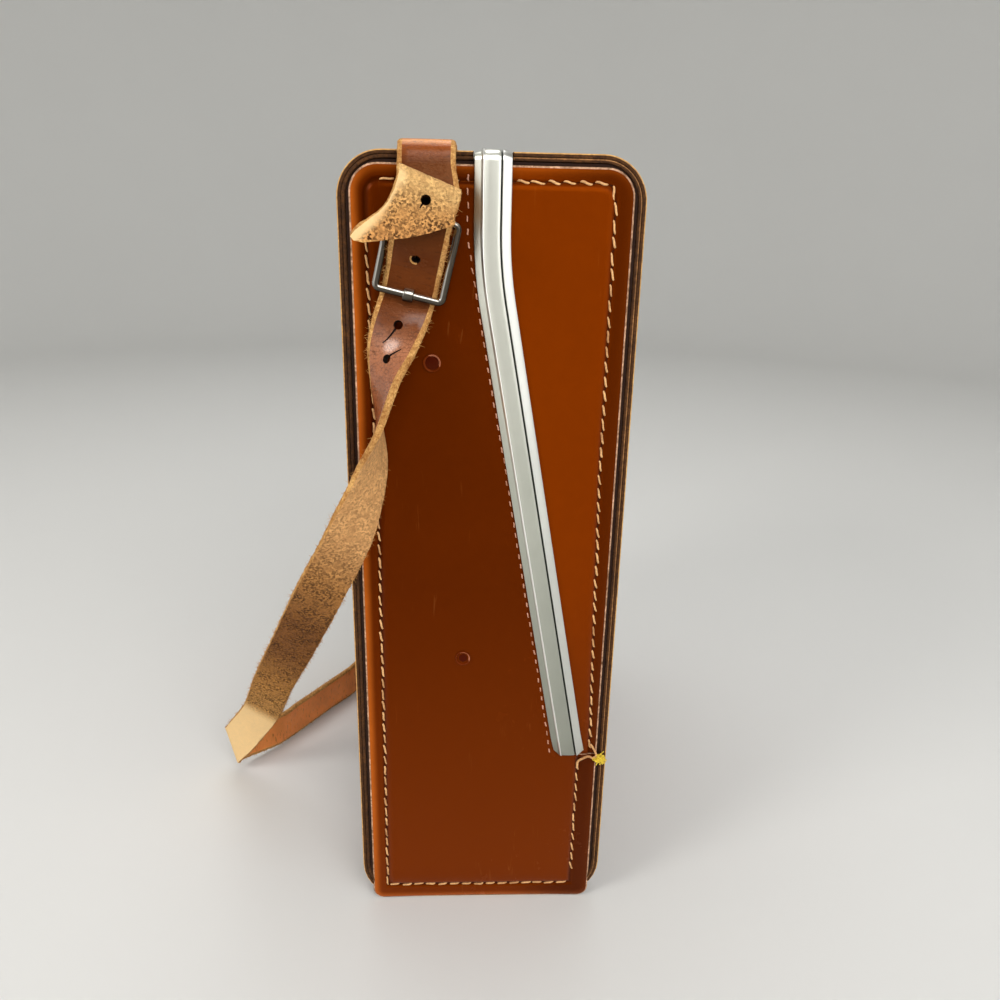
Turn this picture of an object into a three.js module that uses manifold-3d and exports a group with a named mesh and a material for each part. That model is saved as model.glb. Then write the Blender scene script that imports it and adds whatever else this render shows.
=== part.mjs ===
// Leather camera case with a hinged front lid, a metal rail and a buckled shoulder strap.
// Millimetres, +Z up. The case stands on the XY plane with its back towards -X and its lid
// towards +X. Its two ends face -Y (near) and +Y (far).

import * as THREE from 'three';
import { mergeVertices } from 'three/addons/utils/BufferGeometryUtils.js';
import Module from 'manifold-3d';

const wasm = await Module();
wasm.setup();

// Case
const CASE_HEIGHT = 305;
const CASE_DEPTH = 102;
const CASE_WIDTH = 210;
const TOP_RADIUS = 15;
const BOTTOM_RADIUS = 8;
const BAND_WALL = 2.7;
const SEAT_GAP = 0.3;

// End panels: a front layer that shows, and a wider back layer that seats in the band
const PANEL_WALL = 3;
const PANEL_FRONT = 1.5;
const PANEL_PROUD = 1;
const CREVICE = 1.3;
const PANEL_TOP_RADIUS = 9.5;
const PANEL_BOTTOM_RADIUS = 6;
const PANEL_FOOT = 0.4;
const FOOT_NOTCH_HEIGHT = 6;

// Lid and rail
const HINGE_HEIGHT = 75;
const SLIT = 0.6;
const RAIL_WIDTH = 12.2;
const RAIL_WALL = 1.8;
const RAIL_SHOULDER = 2.1;
const RAIL_OVERHANG = 3.5;
const RAIL_PROUD_ON_TOP = 1;
const RAIL_CORNER_HEIGHT = 269;
const RAIL_CORNER_REACH = 13;
const RAIL_FOOT = { x: 34.9, z: 77 };
const RAIL_TOP_BEND = 3.1;
const CLASP = { width: 18, wall: 1.4, lidReach: 24, bodyReach: 18, ramp: 3 };

// Rivets
const END_RIVETS = [
  { name: 'upper', x: -20.1, z: 236.7, radius: 3.2 },
  { name: 'lower', x: -8.7, z: 120.7, radius: 3.0 },
];
const END_RIVET_HEAD = { edge: 0.2, proud: 0.6, flatShare: 0.75 };
const STRAP_RIVET = { radius: 4.5, rise: 1.8, domeRadius: 3.2, domeRise: 1.4, shank: 2.2, fromMiddle: 82 };

// Straps and buckle
const STRAP_WIDTH = 19;
const STRAP_WALL = 2.4;
const STRAP_X = -21.35;
const STRAP_HOLE_RADIUS = 1.6;
const STRAP_HOLES_FROM_BUCKLE = [-32, 0, 24, 37];
const BUCKLE = { x: -24.8, y: -110, z: 272.2, lean: THREE.MathUtils.degToRad(13) };
const BUCKLE_WIDTH = 25;
const BUCKLE_HEIGHT = 27.5;
const BUCKLE_CORNER = { outer: 2.7, inner: 0.5 };
const WIRE = 2.4;
const WIRE_BEVEL = 0.7;
const PRONG_WIRE = 1.4;
const PRONG_EYE = { width: 3.4, wall: 0.9 };
const PRONG_SLOT = { eyeWidth: 4.2, eyeLength: 6.6, shankWidth: 2.2, shankLength: 8, depth: 12 };

// Values worked out from the sizes above
const HALF_DEPTH = CASE_DEPTH / 2;
const HALF_WIDTH = CASE_WIDTH / 2;
const BAND_END = HALF_WIDTH - PANEL_PROUD;
const BAR_OFFSET = (BUCKLE_HEIGHT - WIRE) / 2;
const STRAP_LIE = CASE_HEIGHT + SEAT_GAP + STRAP_WALL / 2;
const RAIL_LEG_OUT = HALF_WIDTH + SEAT_GAP + RAIL_WALL / 2;
const RAIL_TOP = CASE_HEIGHT + RAIL_PROUD_ON_TOP - RAIL_WALL / 2;
const NEAR = -1;
const FAR = 1;
const MERGE_DISTANCE = 1e-4;

// Steps of the round stretches
const CORNER_SEGMENTS = 6;
const ROUND_SEGMENTS = 20;
const HOLE_SEGMENTS = 12;
const WIRE_SEGMENTS = 4;
const RAIL_BEND_STEPS = 6;
const PRONG_STEPS = 12;
const STRAP_STEPS_PER_ROW = 3;

// Solids and booleans

function toSolid(geometry) {
  const bare = geometry.clone();
  bare.deleteAttribute('normal');
  bare.deleteAttribute('uv');
  const merged = mergeVertices(bare, MERGE_DISTANCE);
  return new wasm.Manifold(new wasm.Mesh({
    numProp: 3,
    vertProperties: Float32Array.from(merged.attributes.position.array),
    triVerts: Uint32Array.from(merged.index.array),
  }));
}

function toGeometry(solid) {
  const mesh = solid.getMesh();
  const geometry = new THREE.BufferGeometry();
  geometry.setAttribute('position', new THREE.BufferAttribute(mesh.vertProperties, 3));
  geometry.setIndex(new THREE.BufferAttribute(mesh.triVerts, 1));
  geometry.computeVertexNormals();
  return geometry;
}

// A shape drawn in the XZ plane, given depth along Y from one place to another
function plate(shape, fromY, toY) {
  const geometry = new THREE.ExtrudeGeometry(shape, {
    depth: toY - fromY,
    bevelEnabled: false,
    curveSegments: CORNER_SEGMENTS,
  });
  geometry.rotateX(Math.PI / 2);
  geometry.translate(0, toY, 0);
  return toSolid(geometry);
}

// The same for one end, between two distances from the middle of the case
function endPlate(shape, side, inner, outer) {
  return side === NEAR ? plate(shape, -outer, -inner) : plate(shape, inner, outer);
}

function cylinderAlongY(radius, length, { x, y, z }) {
  const geometry = new THREE.CylinderGeometry(radius, radius, length, ROUND_SEGMENTS);
  geometry.translate(x, y, z);
  return toSolid(geometry);
}

// A profile of [along the width, outwards] points carried through a row of stations
function sweep(profile, stations) {
  const positions = [];
  for (const { at, across, out } of stations) {
    for (const [u, w] of profile) {
      const point = at.clone().addScaledVector(across, u).addScaledVector(out, w);
      positions.push(point.x, point.y, point.z);
    }
  }
  const count = profile.length;
  const last = (stations.length - 1) * count;
  const indices = [];
  for (let s = 0; s < last; s += count) {
    for (let p = 0; p < count; p += 1) {
      const next = (p + 1) % count;
      indices.push(s + p, s + next, s + count + next);
      indices.push(s + p, s + count + next, s + count + p);
    }
  }
  for (let p = 1; p < count - 1; p += 1) {
    indices.push(0, p + 1, p);
    indices.push(last, last + p, last + p + 1);
  }
  const geometry = new THREE.BufferGeometry();
  geometry.setAttribute('position', new THREE.Float32BufferAttribute(positions, 3));
  geometry.setIndex(indices);
  return toSolid(geometry);
}

// Outlines in the XZ plane

function caseOutline({ inset, bottom, topRadius, bottomRadius }) {
  const side = HALF_DEPTH - inset;
  const top = CASE_HEIGHT - inset;
  const shape = new THREE.Shape();
  shape.moveTo(-side + bottomRadius, bottom);
  shape.lineTo(side - bottomRadius, bottom);
  shape.absarc(side - bottomRadius, bottom + bottomRadius, bottomRadius, -Math.PI / 2, 0, false);
  shape.lineTo(side, top - topRadius);
  shape.absarc(side - topRadius, top - topRadius, topRadius, 0, Math.PI / 2, false);
  shape.lineTo(-side + topRadius, top);
  shape.absarc(-side + topRadius, top - topRadius, topRadius, Math.PI / 2, Math.PI, false);
  shape.lineTo(-side, bottom + bottomRadius);
  shape.absarc(-side + bottomRadius, bottom + bottomRadius, bottomRadius, Math.PI, Math.PI * 1.5, false);
  return shape;
}

const bandOutline = caseOutline({
  inset: 0, bottom: 0, topRadius: TOP_RADIUS, bottomRadius: BOTTOM_RADIUS,
});
const bandInside = caseOutline({
  inset: BAND_WALL,
  bottom: BAND_WALL,
  topRadius: TOP_RADIUS - BAND_WALL,
  bottomRadius: BOTTOM_RADIUS - BAND_WALL,
});
const panelFront = caseOutline({
  inset: BAND_WALL + CREVICE,
  bottom: PANEL_FOOT,
  topRadius: PANEL_TOP_RADIUS,
  bottomRadius: PANEL_BOTTOM_RADIUS,
});
const panelBack = caseOutline({
  inset: BAND_WALL + SEAT_GAP,
  bottom: BAND_WALL + SEAT_GAP,
  topRadius: TOP_RADIUS - BAND_WALL - SEAT_GAP,
  bottomRadius: BOTTOM_RADIUS - BAND_WALL - SEAT_GAP,
});

// The rail's middle line slants from the corner near the top to its foot at the hinge line
const RAIL_SLOPE = RAIL_FOOT.x / (RAIL_CORNER_HEIGHT - RAIL_FOOT.z);

function railX(z) {
  return Math.max(0, (RAIL_CORNER_HEIGHT - z) * RAIL_SLOPE);
}

function polygon(points) {
  return new THREE.Shape(points.map(([x, z]) => new THREE.Vector2(x, z)));
}

// Everything on the lid's side of the parting line, moved towards the lid by a clearance
function lidRegion(clearance) {
  const beyond = CASE_HEIGHT;
  const fromRail = RAIL_OVERHANG - RAIL_WIDTH / 2 + clearance;
  const hinge = HINGE_HEIGHT + clearance;
  return polygon([
    [fromRail, CASE_HEIGHT + beyond],
    [fromRail, RAIL_CORNER_HEIGHT],
    [railX(hinge) + fromRail, hinge],
    [beyond, hinge],
    [beyond, CASE_HEIGHT + beyond],
  ]);
}

// The band's share for the lid, which starts beside the rail on the top
function lidBandRegion(topX, hinge) {
  const beyond = CASE_HEIGHT;
  return polygon([
    [topX, CASE_HEIGHT + beyond],
    [topX, RAIL_CORNER_HEIGHT],
    [railX(hinge), hinge],
    [beyond, hinge],
    [beyond, CASE_HEIGHT + beyond],
  ]);
}

function throughCase(shape) {
  return plate(shape, -CASE_WIDTH, CASE_WIDTH);
}

// Leather walls

function bandRing() {
  const outside = plate(bandOutline, -BAND_END, BAND_END);
  return outside.subtract(throughCase(bandInside));
}

// Room at both ends for the panels' lower edges, which hide the band there
function footNotch(side) {
  const innerFace = HALF_WIDTH - PANEL_FRONT - SEAT_GAP;
  const length = CASE_WIDTH;
  const box = new THREE.BoxGeometry(2 * CASE_DEPTH, length, 2 * FOOT_NOTCH_HEIGHT);
  box.translate(0, side * (innerFace + length / 2), 0);
  return toSolid(box);
}

function strapRivetPlace(side) {
  return { x: STRAP_X, y: side * STRAP_RIVET.fromMiddle, z: CASE_HEIGHT };
}

function strapRivetHole(side) {
  const radius = STRAP_RIVET.shank + SEAT_GAP;
  const throughBoth = 4 * (BAND_WALL + STRAP_WALL);
  const geometry = new THREE.CylinderGeometry(radius, radius, throughBoth, ROUND_SEGMENTS);
  geometry.rotateX(Math.PI / 2);
  const { x, y, z } = strapRivetPlace(side);
  geometry.translate(x, y, z);
  return toSolid(geometry);
}

function bodyBand() {
  const besideRail = -RAIL_WIDTH / 2 - SEAT_GAP;
  let wall = bandRing().subtract(throughCase(lidBandRegion(besideRail, HINGE_HEIGHT - SLIT / 2)));
  for (const side of [NEAR, FAR]) {
    wall = wall.subtract(footNotch(side)).subtract(strapRivetHole(side));
  }
  return wall;
}

function lidBand() {
  const besideRail = RAIL_WIDTH / 2 + SEAT_GAP;
  return bandRing().intersect(throughCase(lidBandRegion(besideRail, HINGE_HEIGHT + SLIT / 2)));
}

function wholePanel(side) {
  const split = HALF_WIDTH - PANEL_FRONT;
  const front = endPlate(panelFront, side, split, HALF_WIDTH);
  const back = endPlate(panelBack, side, HALF_WIDTH - PANEL_WALL, split);
  return front.add(back);
}

function endRivetPlace(rivet, side) {
  return { x: rivet.x, y: side * HALF_WIDTH, z: rivet.z };
}

function endPanel(side) {
  let panel = wholePanel(side).subtract(throughCase(lidRegion(-SLIT / 2)));
  for (const rivet of END_RIVETS) {
    const hole = cylinderAlongY(rivet.radius + SEAT_GAP, 4 * PANEL_WALL, endRivetPlace(rivet, side));
    panel = panel.subtract(hole);
  }
  return panel;
}

function lidPanel(side) {
  return wholePanel(side).intersect(throughCase(lidRegion(SLIT / 2)));
}

// Rail over both ends and the top

function withDirections(places) {
  return places.map((place, i) => {
    const before = places[Math.max(0, i - 1)].at;
    const after = places[Math.min(places.length - 1, i + 1)].at;
    const heading = after.clone().sub(before).normalize();
    return { ...place, across: place.out.clone().cross(heading).normalize() };
  });
}

function railNearLeg() {
  const outwards = new THREE.Vector3(0, -1, 0);
  const cornerLow = RAIL_CORNER_HEIGHT - RAIL_CORNER_REACH;
  const corner = new THREE.QuadraticBezierCurve(
    new THREE.Vector2(railX(cornerLow), cornerLow),
    new THREE.Vector2(0, RAIL_CORNER_HEIGHT),
    new THREE.Vector2(0, RAIL_CORNER_HEIGHT + RAIL_CORNER_REACH),
  );
  const line = [new THREE.Vector2(RAIL_FOOT.x, RAIL_FOOT.z), ...corner.getPoints(RAIL_BEND_STEPS)];
  const places = line.map((point) => ({
    at: new THREE.Vector3(point.x, -RAIL_LEG_OUT, point.y),
    out: outwards.clone(),
  }));
  for (let i = 0; i <= RAIL_BEND_STEPS; i += 1) {
    const angle = (i / RAIL_BEND_STEPS) * (Math.PI / 2);
    const out = new THREE.Vector3(0, -Math.cos(angle), Math.sin(angle));
    const centre = new THREE.Vector3(0, -RAIL_LEG_OUT + RAIL_TOP_BEND, RAIL_TOP - RAIL_TOP_BEND);
    places.push({ at: centre.addScaledVector(out, RAIL_TOP_BEND), out });
  }
  return places;
}

function lidRail() {
  const near = railNearLeg();
  const far = near.map(({ at, out }) => ({
    at: at.clone().setY(-at.y),
    out: out.clone().setY(-out.y),
  })).reverse();
  const half = RAIL_WIDTH / 2;
  const thick = RAIL_WALL / 2;
  const profile = [
    [-half, -thick],
    [half, -thick],
    [half, 0],
    [half - RAIL_SHOULDER, thick],
    [RAIL_SHOULDER - half, thick],
    [-half, 0],
  ];
  return sweep(profile, withDirections([...near, ...far]));
}

// A plain hasp that rises from the lid's top, crosses the rail and rests over the body's top
function lidClasp() {
  const onLeather = CASE_HEIGHT + SEAT_GAP;
  const onRail = CASE_HEIGHT + RAIL_PROUD_ON_TOP + SEAT_GAP;
  const railEdge = RAIL_WIDTH / 2 + SEAT_GAP;
  const under = [
    [-CLASP.bodyReach, onLeather],
    [-railEdge - CLASP.ramp, onLeather],
    [-railEdge, onRail],
    [railEdge, onRail],
    [railEdge + CLASP.ramp, onLeather],
    [CLASP.lidReach, onLeather],
  ];
  const over = under.map(([x, z]) => [x, z + CLASP.wall]).reverse();
  return plate(polygon([...under, ...over]), -CLASP.width / 2, CLASP.width / 2);
}

// Rivets

function endRivet(rivet, side) {
  const inner = -PANEL_WALL + SEAT_GAP;
  const profile = [
    new THREE.Vector2(0, inner),
    new THREE.Vector2(rivet.radius, inner),
    new THREE.Vector2(rivet.radius, END_RIVET_HEAD.edge),
    new THREE.Vector2(rivet.radius * END_RIVET_HEAD.flatShare, END_RIVET_HEAD.proud),
    new THREE.Vector2(0, END_RIVET_HEAD.proud),
  ];
  const geometry = new THREE.LatheGeometry(profile, ROUND_SEGMENTS);
  if (side === NEAR) geometry.rotateX(Math.PI);
  const { x, y, z } = endRivetPlace(rivet, side);
  geometry.translate(x, y, z);
  return toSolid(geometry);
}

function strapRivet(side) {
  const headFoot = SEAT_GAP + STRAP_WALL + SEAT_GAP;
  const profile = [
    new THREE.Vector2(0, -BAND_WALL),
    new THREE.Vector2(STRAP_RIVET.shank, -BAND_WALL),
    new THREE.Vector2(STRAP_RIVET.shank, headFoot),
    new THREE.Vector2(STRAP_RIVET.radius, headFoot),
    new THREE.Vector2(STRAP_RIVET.domeRadius, headFoot + STRAP_RIVET.domeRise),
    new THREE.Vector2(0, headFoot + STRAP_RIVET.rise),
  ];
  const geometry = new THREE.LatheGeometry(profile, ROUND_SEGMENTS);
  geometry.rotateX(Math.PI / 2);
  const { x, y, z } = strapRivetPlace(side);
  geometry.translate(x, y, z);
  return toSolid(geometry);
}

// Buckle places: across the frame, along it upwards, and out towards the viewer

const buckleAcross = new THREE.Vector3(Math.cos(BUCKLE.lean), 0, -Math.sin(BUCKLE.lean));
const buckleAlong = new THREE.Vector3(Math.sin(BUCKLE.lean), 0, Math.cos(BUCKLE.lean));
const buckleOut = new THREE.Vector3(0, -1, 0);

function atBuckle(across, along, out) {
  return new THREE.Vector3(BUCKLE.x, BUCKLE.y, BUCKLE.z)
    .addScaledVector(buckleAcross, across)
    .addScaledVector(buckleAlong, along)
    .addScaledVector(buckleOut, out);
}

// Local X, Y and Z become across, along and out
function seatOnBuckle(geometry) {
  const turn = new THREE.Matrix4().makeBasis(buckleAcross, buckleAlong, buckleOut);
  turn.setPosition(BUCKLE.x, BUCKLE.y, BUCKLE.z);
  return geometry.applyMatrix4(turn);
}

function roundedRectangle(Path, width, height, radius) {
  const x = width / 2 - radius;
  const y = height / 2 - radius;
  const path = new Path();
  path.moveTo(-x, -y - radius);
  path.absarc(x, -y, radius, -Math.PI / 2, 0, false);
  path.absarc(x, y, radius, 0, Math.PI / 2, false);
  path.absarc(-x, y, radius, Math.PI / 2, Math.PI, false);
  path.absarc(-x, -y, radius, Math.PI, Math.PI * 1.5, false);
  return path;
}

function buckleFrame() {
  const outside = 2 * WIRE_BEVEL;
  const inside = 2 * (WIRE - WIRE_BEVEL);
  const outer = roundedRectangle(
    THREE.Shape, BUCKLE_WIDTH - outside, BUCKLE_HEIGHT - outside, BUCKLE_CORNER.outer - WIRE_BEVEL);
  outer.holes.push(roundedRectangle(
    THREE.Path, BUCKLE_WIDTH - inside, BUCKLE_HEIGHT - inside, BUCKLE_CORNER.inner + WIRE_BEVEL));
  const geometry = new THREE.ExtrudeGeometry(outer, {
    depth: WIRE - 2 * WIRE_BEVEL,
    bevelThickness: WIRE_BEVEL,
    bevelSize: WIRE_BEVEL,
    bevelSegments: 1,
    curveSegments: WIRE_SEGMENTS,
  });
  geometry.translate(0, 0, WIRE_BEVEL - WIRE / 2);
  return toSolid(seatOnBuckle(geometry));
}

// The prong's line from its eye on the lower bar to the hole that it holds, behind the strap,
// as places above the lower bar and out from the frame
const PRONG_LINE = [
  { above: 1.6, out: -1.4 },
  { above: 3.6, out: -3.1 },
  { above: 6.5, out: -4 },
  { above: 10, out: -3.5 },
  { above: 14, out: -0.6 },
];

function prongShank() {
  const points = PRONG_LINE.map(({ above, out }) => new THREE.Vector3(0, above - BAR_OFFSET, out));
  const curve = new THREE.CatmullRomCurve3(points);
  const round = new THREE.Shape().absarc(0, 0, PRONG_WIRE / 2, 0, 2 * Math.PI, false);
  const geometry = new THREE.ExtrudeGeometry(round, {
    steps: PRONG_STEPS, curveSegments: WIRE_SEGMENTS, extrudePath: curve,
  });
  return toSolid(seatOnBuckle(geometry));
}

function buckleProng() {
  const inner = WIRE / 2 + SEAT_GAP;
  const outer = inner + PRONG_EYE.wall;
  const half = PRONG_EYE.width / 2;
  const section = [[inner, -half], [outer, -half], [outer, half], [inner, half], [inner, -half]];
  const eye = new THREE.LatheGeometry(section.map(([r, h]) => new THREE.Vector2(r, h)), ROUND_SEGMENTS);
  eye.rotateZ(Math.PI / 2);
  eye.translate(0, -BAR_OFFSET, 0);
  return prongShank().add(toSolid(seatOnBuckle(eye)));
}

// The strap's slot for the eye at the lower bar, and a narrower one above it for the shank
function prongSlots() {
  const { eyeWidth, eyeLength, shankWidth, shankLength, depth } = PRONG_SLOT;
  const forEye = new THREE.BoxGeometry(eyeWidth, eyeLength, depth);
  forEye.translate(0, -BAR_OFFSET, 0);
  const forShank = new THREE.BoxGeometry(shankWidth, shankLength, depth);
  forShank.translate(0, shankLength / 2 - BAR_OFFSET, 0);
  return toSolid(seatOnBuckle(forEye)).add(toSolid(seatOnBuckle(forShank)));
}

// Straps: a row gives the middle of the strap and the way to its first edge

function row(x, y, z, edgeX, edgeY, edgeZ) {
  return { at: new THREE.Vector3(x, y, z), edge: new THREE.Vector3(edgeX, edgeY, edgeZ) };
}

function buckleRow(along, out) {
  return { at: atBuckle(0, along, out), edge: buckleAcross.clone() };
}

function strapStations(rows) {
  const middle = new THREE.CatmullRomCurve3(rows.map(({ at }) => at));
  const edges = new THREE.CatmullRomCurve3(rows.map(({ edge }) => edge.clone().normalize()));
  const steps = (rows.length - 1) * STRAP_STEPS_PER_ROW;
  const stations = [];
  let length = 0;
  for (let i = 0; i <= steps; i += 1) {
    const at = middle.getPoint(i / steps);
    const heading = middle.getTangent(i / steps);
    const edge = edges.getPoint(i / steps).normalize();
    const out = heading.clone().cross(edge);
    const across = edge.divideScalar(out.length());
    if (i > 0) length += at.distanceTo(stations[i - 1].at);
    stations.push({ at, across, out: out.normalize(), length });
  }
  return stations;
}

function strapProfile() {
  const half = STRAP_WIDTH / 2;
  const thick = STRAP_WALL / 2;
  return [[-half, -thick], [half, -thick], [half, thick], [-half, thick]];
}

// Comes over the near top edge, down to the buckle's upper bar, round it and up behind
function strapShort() {
  const overBar = WIRE / 2 + SEAT_GAP + STRAP_WALL / 2;
  const slanting = overBar * Math.SQRT1_2;
  const rows = [
    row(STRAP_X, -72, STRAP_LIE, 1, 0, 0),
    row(STRAP_X, -92, STRAP_LIE, 1, 0, 0),
    row(STRAP_X, -100, STRAP_LIE + 0.3, 1, 0, 0),
    row(STRAP_X, -104.5, STRAP_LIE + 0.4, 1, 0, 0),
    row(STRAP_X, -107.8, STRAP_LIE - 1.6, 1, 0, 0),
    row(STRAP_X, -109.2, STRAP_LIE - 6.5, 1, 0, 0),
    buckleRow(BAR_OFFSET + 7, overBar - 0.9),
    buckleRow(BAR_OFFSET, overBar),
    buckleRow(BAR_OFFSET - slanting, slanting),
    buckleRow(BAR_OFFSET - overBar, 0),
    buckleRow(BAR_OFFSET - slanting, -slanting),
    buckleRow(BAR_OFFSET, -overBar),
    buckleRow(BAR_OFFSET + 8, -overBar - 0.1),
  ];
  return sweep(strapProfile(), strapStations(rows)).subtract(strapRivetHole(NEAR));
}

// Free end, fold, buckle, half twist, fold at the floor, then up the far end to the top
const LONG_STRAP_ROWS = [
  row(-28.2, -119.9, 280, 0.985, 0, 0.15),
  row(-23.8, -120.6, 284.8, 0.99, 0, -0.08),
  row(-20.6, -120.1, 290.6, 0.94, 0, -0.33),
  row(-18.9, -117.7, 295, 0.93, 0, -0.36),
  row(-19.6, -115.7, 292.3, 0.94, 0, -0.33),
  buckleRow(BAR_OFFSET, 5.5),
  buckleRow(4, 4.2),
  buckleRow(0, 1.3),
  buckleRow(-4, -1.6),
  buckleRow(-BAR_OFFSET, -2.8),
  row(-29.5, -107.8, 254.3, 0.98, 0, -0.17),
  row(-33, -111, 243.6, 0.92, -0.38, -0.05),
  row(-35.7, -114.8, 232.5, 0.57, -0.82, 0.1),
  row(-37.8, -116.5, 216.3, 0.08, -0.99, 0.1),
  row(-41, -115.2, 200.4, -0.43, -0.85, 0.3),
  row(-48.4, -116, 178.7, -0.66, -0.48, 0.58),
  row(-62.9, -106, 149.1, -0.72, -0.32, 0.61),
  row(-82.2, -76, 108, -0.76, -0.21, 0.61),
  row(-97.5, -50, 75.7, -0.8, -0.11, 0.6),
  row(-110.6, -28, 45.3, -0.78, -0.1, 0.62),
  row(-126, -17, 22, -0.4, 0.05, 0.91),
  row(-130.4, -13, 15.3, -0.25, 0.12, 0.96),
  row(-127.8, -9, 13.8, -0.2, 0.05, 0.98),
  row(-110.5, 8, 10.6, 0, 0, 1),
  row(-102.3, 21, 10.2, 0, 0, 1),
  row(-88.4, 43, 10.2, 0, 0, 1),
  row(-74.8, 64, 11.2, 0, 0, 1),
  row(-67, 82, 20, 0.2, -0.15, 0.97),
  row(-63, 105, 50, 0.6, -0.6, 0.5),
  row(-54, 121, 100, 0.85, -0.5, 0.15),
  row(-42, 119, 170, 0.97, -0.25, 0.1),
  row(-29, 112, 240, 1, 0, 0.1),
  row(-22.5, 109.3, 285, 1, 0, 0.05),
  row(STRAP_X, 107.8, STRAP_LIE - 3, 1, 0, 0),
  row(STRAP_X, 104.5, STRAP_LIE + 0.4, 1, 0, 0),
  row(STRAP_X, 98, STRAP_LIE, 1, 0, 0),
  row(STRAP_X, 72, STRAP_LIE, 1, 0, 0),
];
const BUCKLE_ROW = 7;

function strapHole({ at, out }) {
  const radius = STRAP_HOLE_RADIUS;
  const geometry = new THREE.CylinderGeometry(radius, radius, 2 * STRAP_WALL, HOLE_SEGMENTS);
  const turn = new THREE.Quaternion().setFromUnitVectors(new THREE.Vector3(0, 1, 0), out);
  geometry.applyQuaternion(turn);
  geometry.translate(at.x, at.y, at.z);
  return toSolid(geometry);
}

function strapLong() {
  const stations = strapStations(LONG_STRAP_ROWS);
  const buckleAt = stations[BUCKLE_ROW * STRAP_STEPS_PER_ROW].length;
  let strap = sweep(strapProfile(), stations).subtract(strapRivetHole(FAR)).subtract(prongSlots());
  for (const distance of STRAP_HOLES_FROM_BUCKLE) {
    const station = stations.find(({ length }) => length >= buckleAt + distance);
    strap = strap.subtract(strapHole(station));
  }
  return strap;
}

// Materials

const leather = { color: 0x7a3a10, roughness: 0.38, metalness: 0 };
const lidLeather = { color: 0x8a4410, roughness: 0.38, metalness: 0 };
const strapLeather = { color: 0x8a5430, roughness: 0.55, metalness: 0 };
const railMetal = { color: 0xbfc0b8, roughness: 0.35, metalness: 0.9 };
const buckleMetal = { color: 0x55524c, roughness: 0.3, metalness: 1 };
const rivetMetal = { color: 0x5a3c22, roughness: 0.4, metalness: 0.8 };

function piece(name, solid, finish) {
  const mesh = new THREE.Mesh(toGeometry(solid), new THREE.MeshStandardMaterial(finish));
  mesh.name = name;
  return mesh;
}

const body = new THREE.Group();
body.add(piece('body_band', bodyBand(), leather));
const lid = new THREE.Group();
lid.add(piece('lid_band', lidBand(), lidLeather));
for (const [end, side] of [['near', NEAR], ['far', FAR]]) {
  body.add(piece(`end_panel_${end}`, endPanel(side), leather));
  for (const rivet of END_RIVETS) {
    body.add(piece(`end_rivet_${end}_${rivet.name}`, endRivet(rivet, side), rivetMetal));
  }
  body.add(piece(`strap_rivet_${end}`, strapRivet(side), rivetMetal));
  lid.add(piece(`lid_panel_${end}`, lidPanel(side), lidLeather));
}
body.add(piece('strap_short', strapShort(), strapLeather));
body.add(piece('strap_long', strapLong(), strapLeather));
body.add(piece('buckle_frame', buckleFrame(), buckleMetal));
body.add(piece('buckle_prong', buckleProng(), buckleMetal));
lid.add(piece('lid_rail', lidRail(), railMetal));
lid.add(piece('lid_clasp', lidClasp(), railMetal));

const cameraCase = new THREE.Group();
cameraCase.add(body, lid);

export default cameraCase;
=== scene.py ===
"""Leather camera case: finished pieces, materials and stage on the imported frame."""

import math
import random

import bmesh
import bpy
from bpy.props import FloatProperty, FloatVectorProperty, IntProperty, PointerProperty
from mathutils import Matrix, Vector, noise


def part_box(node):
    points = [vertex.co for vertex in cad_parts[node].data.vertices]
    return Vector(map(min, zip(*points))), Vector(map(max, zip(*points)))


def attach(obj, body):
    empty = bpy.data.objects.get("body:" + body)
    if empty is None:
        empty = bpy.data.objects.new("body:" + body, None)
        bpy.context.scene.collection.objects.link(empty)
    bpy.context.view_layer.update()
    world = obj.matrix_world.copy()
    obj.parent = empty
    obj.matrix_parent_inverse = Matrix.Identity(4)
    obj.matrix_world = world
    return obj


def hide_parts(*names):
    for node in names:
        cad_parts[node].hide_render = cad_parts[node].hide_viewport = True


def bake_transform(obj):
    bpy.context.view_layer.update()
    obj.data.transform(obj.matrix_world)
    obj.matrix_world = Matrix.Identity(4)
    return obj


bl_info = {
    "name": "Leather camera case",
    "version": (1, 0, 0),
    "blender": (4, 5, 0),
    "location": "3D View > Sidebar > Camera Case",
    "description": "Models a stitched leather camera case with a metal rail and a buckled strap",
    "category": "Object",
}

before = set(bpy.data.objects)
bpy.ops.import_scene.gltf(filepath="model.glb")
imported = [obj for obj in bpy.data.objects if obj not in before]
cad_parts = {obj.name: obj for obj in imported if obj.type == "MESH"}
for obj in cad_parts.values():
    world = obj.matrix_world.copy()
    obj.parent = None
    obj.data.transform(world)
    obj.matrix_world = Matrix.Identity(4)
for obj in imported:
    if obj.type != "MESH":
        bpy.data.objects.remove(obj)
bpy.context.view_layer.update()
MM = 0.001
NEAR = -1
FAR = 1


# Sizes and colours that a user would change


def srgb(red, green, blue):
    """A display colour from 0 to 255 as the linear colour that materials use."""

    def linear(value):
        share = value / 255
        return share / 12.92 if share <= 0.04045 else ((share + 0.055) / 1.055) ** 2.4

    return (linear(red), linear(green), linear(blue), 1.0)


def extent(name, description, millimetres):
    return FloatProperty(
        name=name, description=description, default=millimetres * MM, unit="LENGTH", precision=5
    )


def angle(name, description, degrees):
    return FloatProperty(
        name=name, description=description, default=math.radians(degrees), subtype="ANGLE"
    )


def colour(name, description, red, green, blue):
    return FloatVectorProperty(
        name=name, description=description, default=srgb(red, green, blue),
        size=4, min=0.0, max=1.0, subtype="COLOR",
    )


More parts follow.
